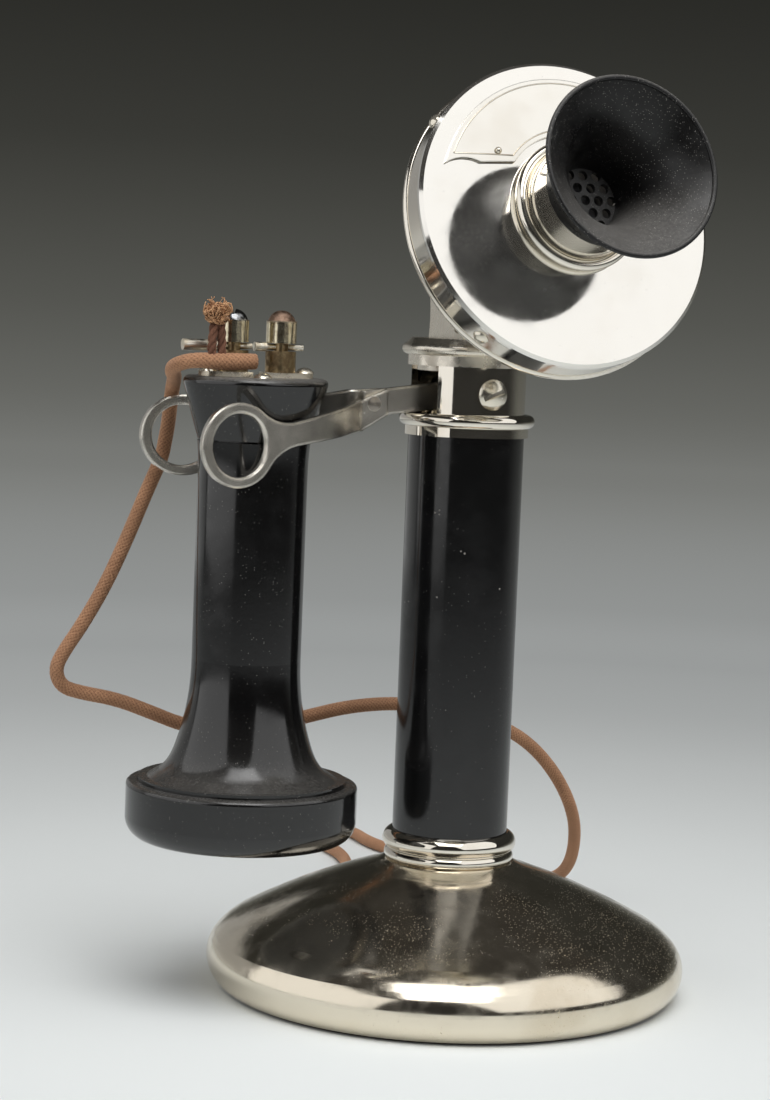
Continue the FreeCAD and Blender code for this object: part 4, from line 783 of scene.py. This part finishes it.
def felt_pad(material):
    """Felt disc with a slightly uneven, softly rounded edge."""
    draw = random.Random(felt_seed)
    middle = felt_radius * 0.6
    flat = felt_radius - felt_soft
    profile = [
        (0.0, 0.0), (middle, 0.0), (flat, 0.0), (felt_radius, felt_soft),
        (felt_radius, felt_top - felt_soft), (flat, felt_top), (middle, felt_top), (0.0, felt_top),
    ]
    uneven = [draw.uniform(*felt_uneven) for _ in range(felt_sides)]
    points = []
    for radius, z in profile:
        for side in range(felt_sides):
            angle = 2 * math.pi * side / felt_sides
            edge = max(radius, felt_eye) + (uneven[side] if radius == felt_radius else 0.0)
            points.append((edge * math.cos(angle), edge * math.sin(angle), z))
    piece = add_mesh("felt_disc", points, ring_faces(len(profile), felt_sides), material)
    set_weave(piece, [felt_tone] * len(points))
    return piece


def crown_height(radius, lift):
    """Height of the face's crown at a radius, on the arc through its three points."""
    (r1, z1), (r2, z2), (r3, z3) = face_crown
    slopes = np.array([[r2 - r1, z2 - z1], [r3 - r1, z3 - z1]])
    sizes = np.array([r2 * r2 + z2 * z2 - r1 * r1 - z1 * z1, r3 * r3 + z3 * z3 - r1 * r1 - z1 * z1]) / 2
    centre_r, centre_z = np.linalg.solve(slopes, sizes)
    bend = math.hypot(r1 - centre_r, z1 - centre_z)
    return centre_z + math.sqrt((bend + lift) ** 2 - (radius - centre_r) ** 2)


def arc_points(radius, first, last, count):
    """Points of an arc round the face's axis, between two angles in degrees."""
    angles = [math.radians(a) for a in np.linspace(first, last, count)]
    return [(radius * math.cos(a), radius * math.sin(a), 0.0) for a in angles]


def badge_border(material):
    """Thin bead just inside the edge of the bare badge plate."""
    loop = arc_points(border_outer, border_outer_angle, 180 - border_outer_angle, border_outer_points)
    loop += arc_points(border_inner, 180 - border_inner_angle, border_inner_angle, border_inner_points)
    flat, _ = even_points(np.array(loop + loop[:1]), border_step)
    lean = math.radians(face_lean)
    line = []
    for x, y, _ in flat:
        z = crown_height(math.hypot(x, y), badge_lift)
        back = y * math.cos(lean) - z * math.sin(lean)
        rise = y * math.sin(lean) + z * math.cos(lean)
        line.append((x, back, face_pivot + rise))
    points, faces = yarn_tube(np.array(line), border_radius, border_sides)
    return add_mesh("badge_border", points, faces, material)


# Studio

def around(angle, elevation, distance):
    """Place at an angle to the camera's right, seen from the telephone."""
    azimuth = math.radians(camera_azimuth + angle)
    rise = math.radians(elevation)
    return Vector(lamp_target) + distance * Vector((
        math.sin(azimuth) * math.cos(rise), -math.cos(azimuth) * math.cos(rise), math.sin(rise),
    ))


def soft_box(name, angle, elevation, distance, width, height, radiance, in_gloss):
    """Rectangular lamp that faces the telephone and has one brightness all over."""
    data = bpy.data.lights.new(name, "AREA")
    data.shape = "RECTANGLE"
    data.size = width
    data.size_y = height
    data.energy = radiance * math.pi * width * height
    lamp = bpy.data.objects.new(name, data)
    bpy.context.scene.collection.objects.link(lamp)
    lamp.location = around(angle, elevation, distance)
    lamp.rotation_euler = (Vector(lamp_target) - lamp.location).to_track_quat("-Z", "Y").to_euler()
    lamp.visible_glossy = in_gloss
    lamp.visible_camera = False


def sweep_tone(tree, run):
    """Colour of the sweep by its run from the stem, painted light falling off into painted shade, warm
    where it is dark.
    """
    tone = tree.nodes.new("ShaderNodeValToRGB")
    tree.links.new(sums(tree, "DIVIDE", run, sweep_reach), tone.inputs["Fac"])
    band = tone.color_ramp.elements
    while len(band) < len(painted_falloff_greys):
        band.new(0.5)
    for element, (distance, grey) in zip(band, painted_falloff_greys):
        pale = min(grey / sweep_pale, 1.0)
        tint = [warm + (cool - warm) * pale for warm, cool in zip(warm_tint, pale_tint)]
        element.position = distance / sweep_reach
        element.color = (*[grey * share for share in tint], 1)
    return tone.outputs["Color"]


def sweep_look():
    """Floor lit near the telephone, in its painted falloff tone further off and in painted shade on the
    camera's side.
    """
    material, tree, shader = new_look("studio_sweep")
    place = place_of(tree)
    x = axis_of(tree, place, 0)
    y = axis_of(tree, place, 1)
    z = axis_of(tree, place, 2)
    squares = sums(tree, "ADD", sums(tree, "MULTIPLY", x, x), sums(tree, "MULTIPLY", y, y))
    flat = sums(tree, "SQRT", squares, 0.0)
    run = sums(tree, "ADD", flat, z)
    azimuth = math.radians(camera_azimuth)
    by_y = sums(tree, "MULTIPLY", y, math.cos(azimuth))
    by_x = sums(tree, "MULTIPLY", x, math.sin(azimuth))
    behind = sums(tree, "DIVIDE", sums(tree, "SUBTRACT", by_y, by_x), sums(tree, "MAXIMUM", flat, 0.01))
    aside = sums(tree, "SUBTRACT", 1.0, ramp(tree, behind, *unlit_facing))
    unlit = sums(tree, "MULTIPLY", ramp(tree, run, *unlit_run), aside)
    share = sums(tree, "MULTIPLY", unlit, unlit_share)
    colour = blend_colour(tree, share, sweep_tone(tree, run), unlit_colour)
    tree.links.new(colour, shader.inputs["Base Color"])
    shader.inputs["Roughness"].default_value = 0.9
    shader.inputs["Specular IOR Level"].default_value = 0.1
    glow = tree.nodes.new("ShaderNodeEmission")
    tree.links.new(colour, glow.inputs["Color"])
    path = tree.nodes.new("ShaderNodeLightPath")
    seen = sums(tree, "MAXIMUM", path.outputs["Is Camera Ray"], path.outputs["Is Glossy Ray"])
    seen = sums(tree, "MAXIMUM", seen, path.outputs["Is Transmission Ray"])
    mix = tree.nodes.new("ShaderNodeMixShader")
    tree.links.new(sums(tree, "MULTIPLY", seen, ramp(tree, run, *glow_run)), mix.inputs[0])
    tree.links.new(shader.outputs[0], mix.inputs[1])
    tree.links.new(glow.outputs[0], mix.inputs[2])
    tree.links.new(mix.outputs[0], tree.nodes["Material Output"].inputs["Surface"])
    return material


def make_stage():
    """Pale floor that sweeps up all round into a darker backdrop."""
    profile = [(radius, 0) for radius in sweep_rings + [sweep_flat]]
    for step in range(1, curve_steps + 1):
        angle = math.radians(90 * step / curve_steps)
        profile.append((sweep_flat + sweep_curve * math.sin(angle), sweep_curve * (1 - math.cos(angle))))
    profile += [(sweep_flat + sweep_curve, height) for height in sweep_heights]
    points = []
    for radius, height in profile:
        for side in range(sweep_sides):
            angle = 2 * math.pi * side / sweep_sides
            points.append((radius * math.cos(angle), radius * math.sin(angle), height))
    faces = ring_faces(len(profile), sweep_sides, capped=False)
    sweep = add_mesh("studio_sweep", points, faces, sweep_look())


def make_lights():
    """Lamps, dim world and plain view transform."""
    for lamp in lamps:
        soft_box(*lamp)
    world = bpy.data.worlds.new("world")
    world.use_nodes = True
    world.node_tree.nodes["Background"].inputs["Color"].default_value = world_colour
    bpy.context.scene.world = world
    bpy.context.scene.view_settings.view_transform = "Standard"


# Pieces

def dress(material, *names):
    """Gives CAD nodes a material."""
    for name in names:
        slots = nodes[name].data.materials
        slots.clear()
        slots.append(material)


def dress_nickel():
    """Nickel-plated pieces."""
    nickel = (0.80, 0.755, 0.67)
    bright = nickel_look(
        "nickel_bright", nickel, rough=0.10, tarnish=0.16, speck_share=0.03, speck_colour=nickel_dust,
    )
    dress(bright, "mouthpiece_tube", "transmitter_cup")
    face = nickel_look(
        "nickel_face", (0.90, 0.875, 0.82), rough=0.08, tarnish=0.10, speck_share=0.03,
        speck_colour=nickel_dust, flatter=0.70,
    )
    dress(face, "face_plate")
    badge = nickel_look(
        "nickel_badge", (0.88, 0.85, 0.785), rough=0.12, tarnish=0.16, soft_edge=0.0005, flatter=0.70,
    )
    dress(badge, "badge_plate")
    base = nickel_look(
        "nickel_base", (0.77, 0.70, 0.575), rough=0.17, tarnish=0.30, film=0.012, speck_share=0.30,
        speck_colour=bared_brass,
    )
    dress(base, "base_shell")
    turned = nickel_look("nickel_turned", nickel, rough=0.06, tarnish=0.28, film=0.015)
    dress(turned, "base_collar", "hook_collar")
    satin = nickel_look("nickel_satin", (0.74, 0.69, 0.60), rough=0.30, tarnish=0.25)
    dress(satin, "transmitter_perch", "transmitter_lug")
    worn = nickel_look(
        "nickel_worn", (0.70, 0.66, 0.59), rough=0.24, tarnish=0.10, film=0.03, soft_edge=0.0012,
        haze=(0.95, 1.15),
    )
    dress(worn, "hook_lever", "fork_arms")
    dress(nickel_look("rivet_worn", (0.34, 0.31, 0.27), rough=0.40, tarnish=0.45), "fork_rivet")
    heads = nickel_look("screw_heads", (0.78, 0.73, 0.62), rough=0.22, tarnish=0.22, film=0.10)
    dress(heads, "hook_pivot_screw", "perch_screws", "tilt_screw", "tilt_nut", "rim_screws", "badge_pins",
          "tab_screws")
    tabs = nickel_look("tab_nickel", (0.78, 0.72, 0.60), rough=0.30, tarnish=0.35, film=0.20)
    dress(tabs, "terminal_tabs")


def dress_blacks():
    """Black rubber and enamel."""
    rubber = (0.0035, 0.0034, 0.0035)
    receiver = black_look("receiver_rubber", rubber, rough=0.13, gloss_level=0.7, dust=0.06, dust_and_light_up=0.36)
    dress(receiver, "receiver_shell", "ear_cap")
    tail = black_look("tail_rubber", rubber, rough=0.15, gloss_level=0.7, dust=0.08, dust_and_light_up=0.75)
    dress(tail, "tail_cap")
    bell = black_look(
        "bell_rubber", (0.006, 0.0058, 0.0058), rough=0.36, gloss_level=0.45, dust=0.30, dust_and_light_up=0.6,
    )
    dress(bell, "mouthpiece")
    grille = black_look(
        "grille_rubber", (0.030, 0.029, 0.028), rough=0.45, gloss_level=0.5, dust=0.35, dust_and_light_up=0.3,
    )
    dress(grille, "mouthpiece_grille")
    bushing = black_look(
        "bushing_rubber", (0.008, 0.008, 0.008), rough=0.35, gloss_level=0.5, dust=0.08, dust_and_light_up=0.3,
    )
    dress(bushing, "cord_bushing")
    stem = black_look(
        "stem_enamel", (0.006, 0.006, 0.0062), rough=0.15, gloss_level=0.6, dust=0.02, dust_and_light_up=0.2,
        chips=0.02,
    )
    dress(stem, "stem_tube")


def dress_others():
    """Brass fittings of the receiver, and the pieces inside."""
    dress(brass_look("post_brass", (0.46, 0.35, 0.20), (0.22, 0.155, 0.085), rough=0.30), "binding_posts")
    dress(nut_look(), "binding_nuts")
    dress(brass_look("tip_plate", (0.86, 0.82, 0.72), (0.70, 0.63, 0.50), rough=0.28), "cord_tips")
    steel = steel_look("steel", (0.52, 0.52, 0.53), rough=0.35)
    dress(steel, "base_plate", "base_plate_screws", "stem_nut", "switch_bracket", "switch_screws",
          "lug_screws", "button_bridge", "button_screw", "transmitter_diaphragm", "receiver_diaphragm",
          "pole_pieces", "magnet_hanger")
    iron = steel_look("cast_iron", (0.10, 0.10, 0.10), rough=0.7, metallic=0.6)
    dress(iron, "base_weight", "receiver_magnet")
    brass = brass_look("plain_brass", (0.70, 0.52, 0.25), (0.46, 0.33, 0.15), rough=0.25)
    dress(brass, "terminal_screws", "switch_springs", "carbon_button", "damping_springs")
    fibre = plain_look("fibre", (0.24, 0.085, 0.05), rough=0.6)
    dress(fibre, "terminal_block", "switch_insulators", "switch_stud")
    dress(plain_look("gasket", (0.05, 0.05, 0.05), rough=0.8), "diaphragm_gasket")
    dress(plain_look("winding", (0.19, 0.30, 0.15), rough=0.7), "receiver_coils", "stem_leads")


def make_soft_pieces():
    """Cord with its frayed end, bead of the badge and felt."""
    braid = cloth_look("cord_braid", (0.45, 0.245, 0.138), (0.175, 0.084, 0.048), fuzz=0.35)
    cord, line = braided_cord(braid)
    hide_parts("receiver_cord", "receiver_cord_top")
    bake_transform(cord)
    lacing = cloth_look("strand_yarn", (0.26, 0.125, 0.080), (0.080, 0.036, 0.023), fuzz=0.25)
    strands = frayed_strands(lacing)
    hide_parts("cord_strands")
    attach(strands, "receiver")
    frayed = cloth_look("frayed_yarn", (0.56, 0.32, 0.165), (0.25, 0.12, 0.062), fuzz=0.4)
    tuft = frayed_tuft(frayed)
    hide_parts("cord_tuft")
    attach(tuft, "receiver")
    border = badge_border(nickel_look("nickel_bead", (0.78, 0.72, 0.61), rough=0.16, tarnish=0.35))
    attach(border, "transmitter")
    felt = felt_pad(cloth_look("felt", (0.030, 0.030, 0.031), (0.012, 0.012, 0.012), fuzz=0.3))
    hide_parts("felt_pad")
    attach(felt, "stand")


make_camera()
make_stage()
make_lights()
dress_nickel()
dress_blacks()
dress_others()
make_soft_pieces()
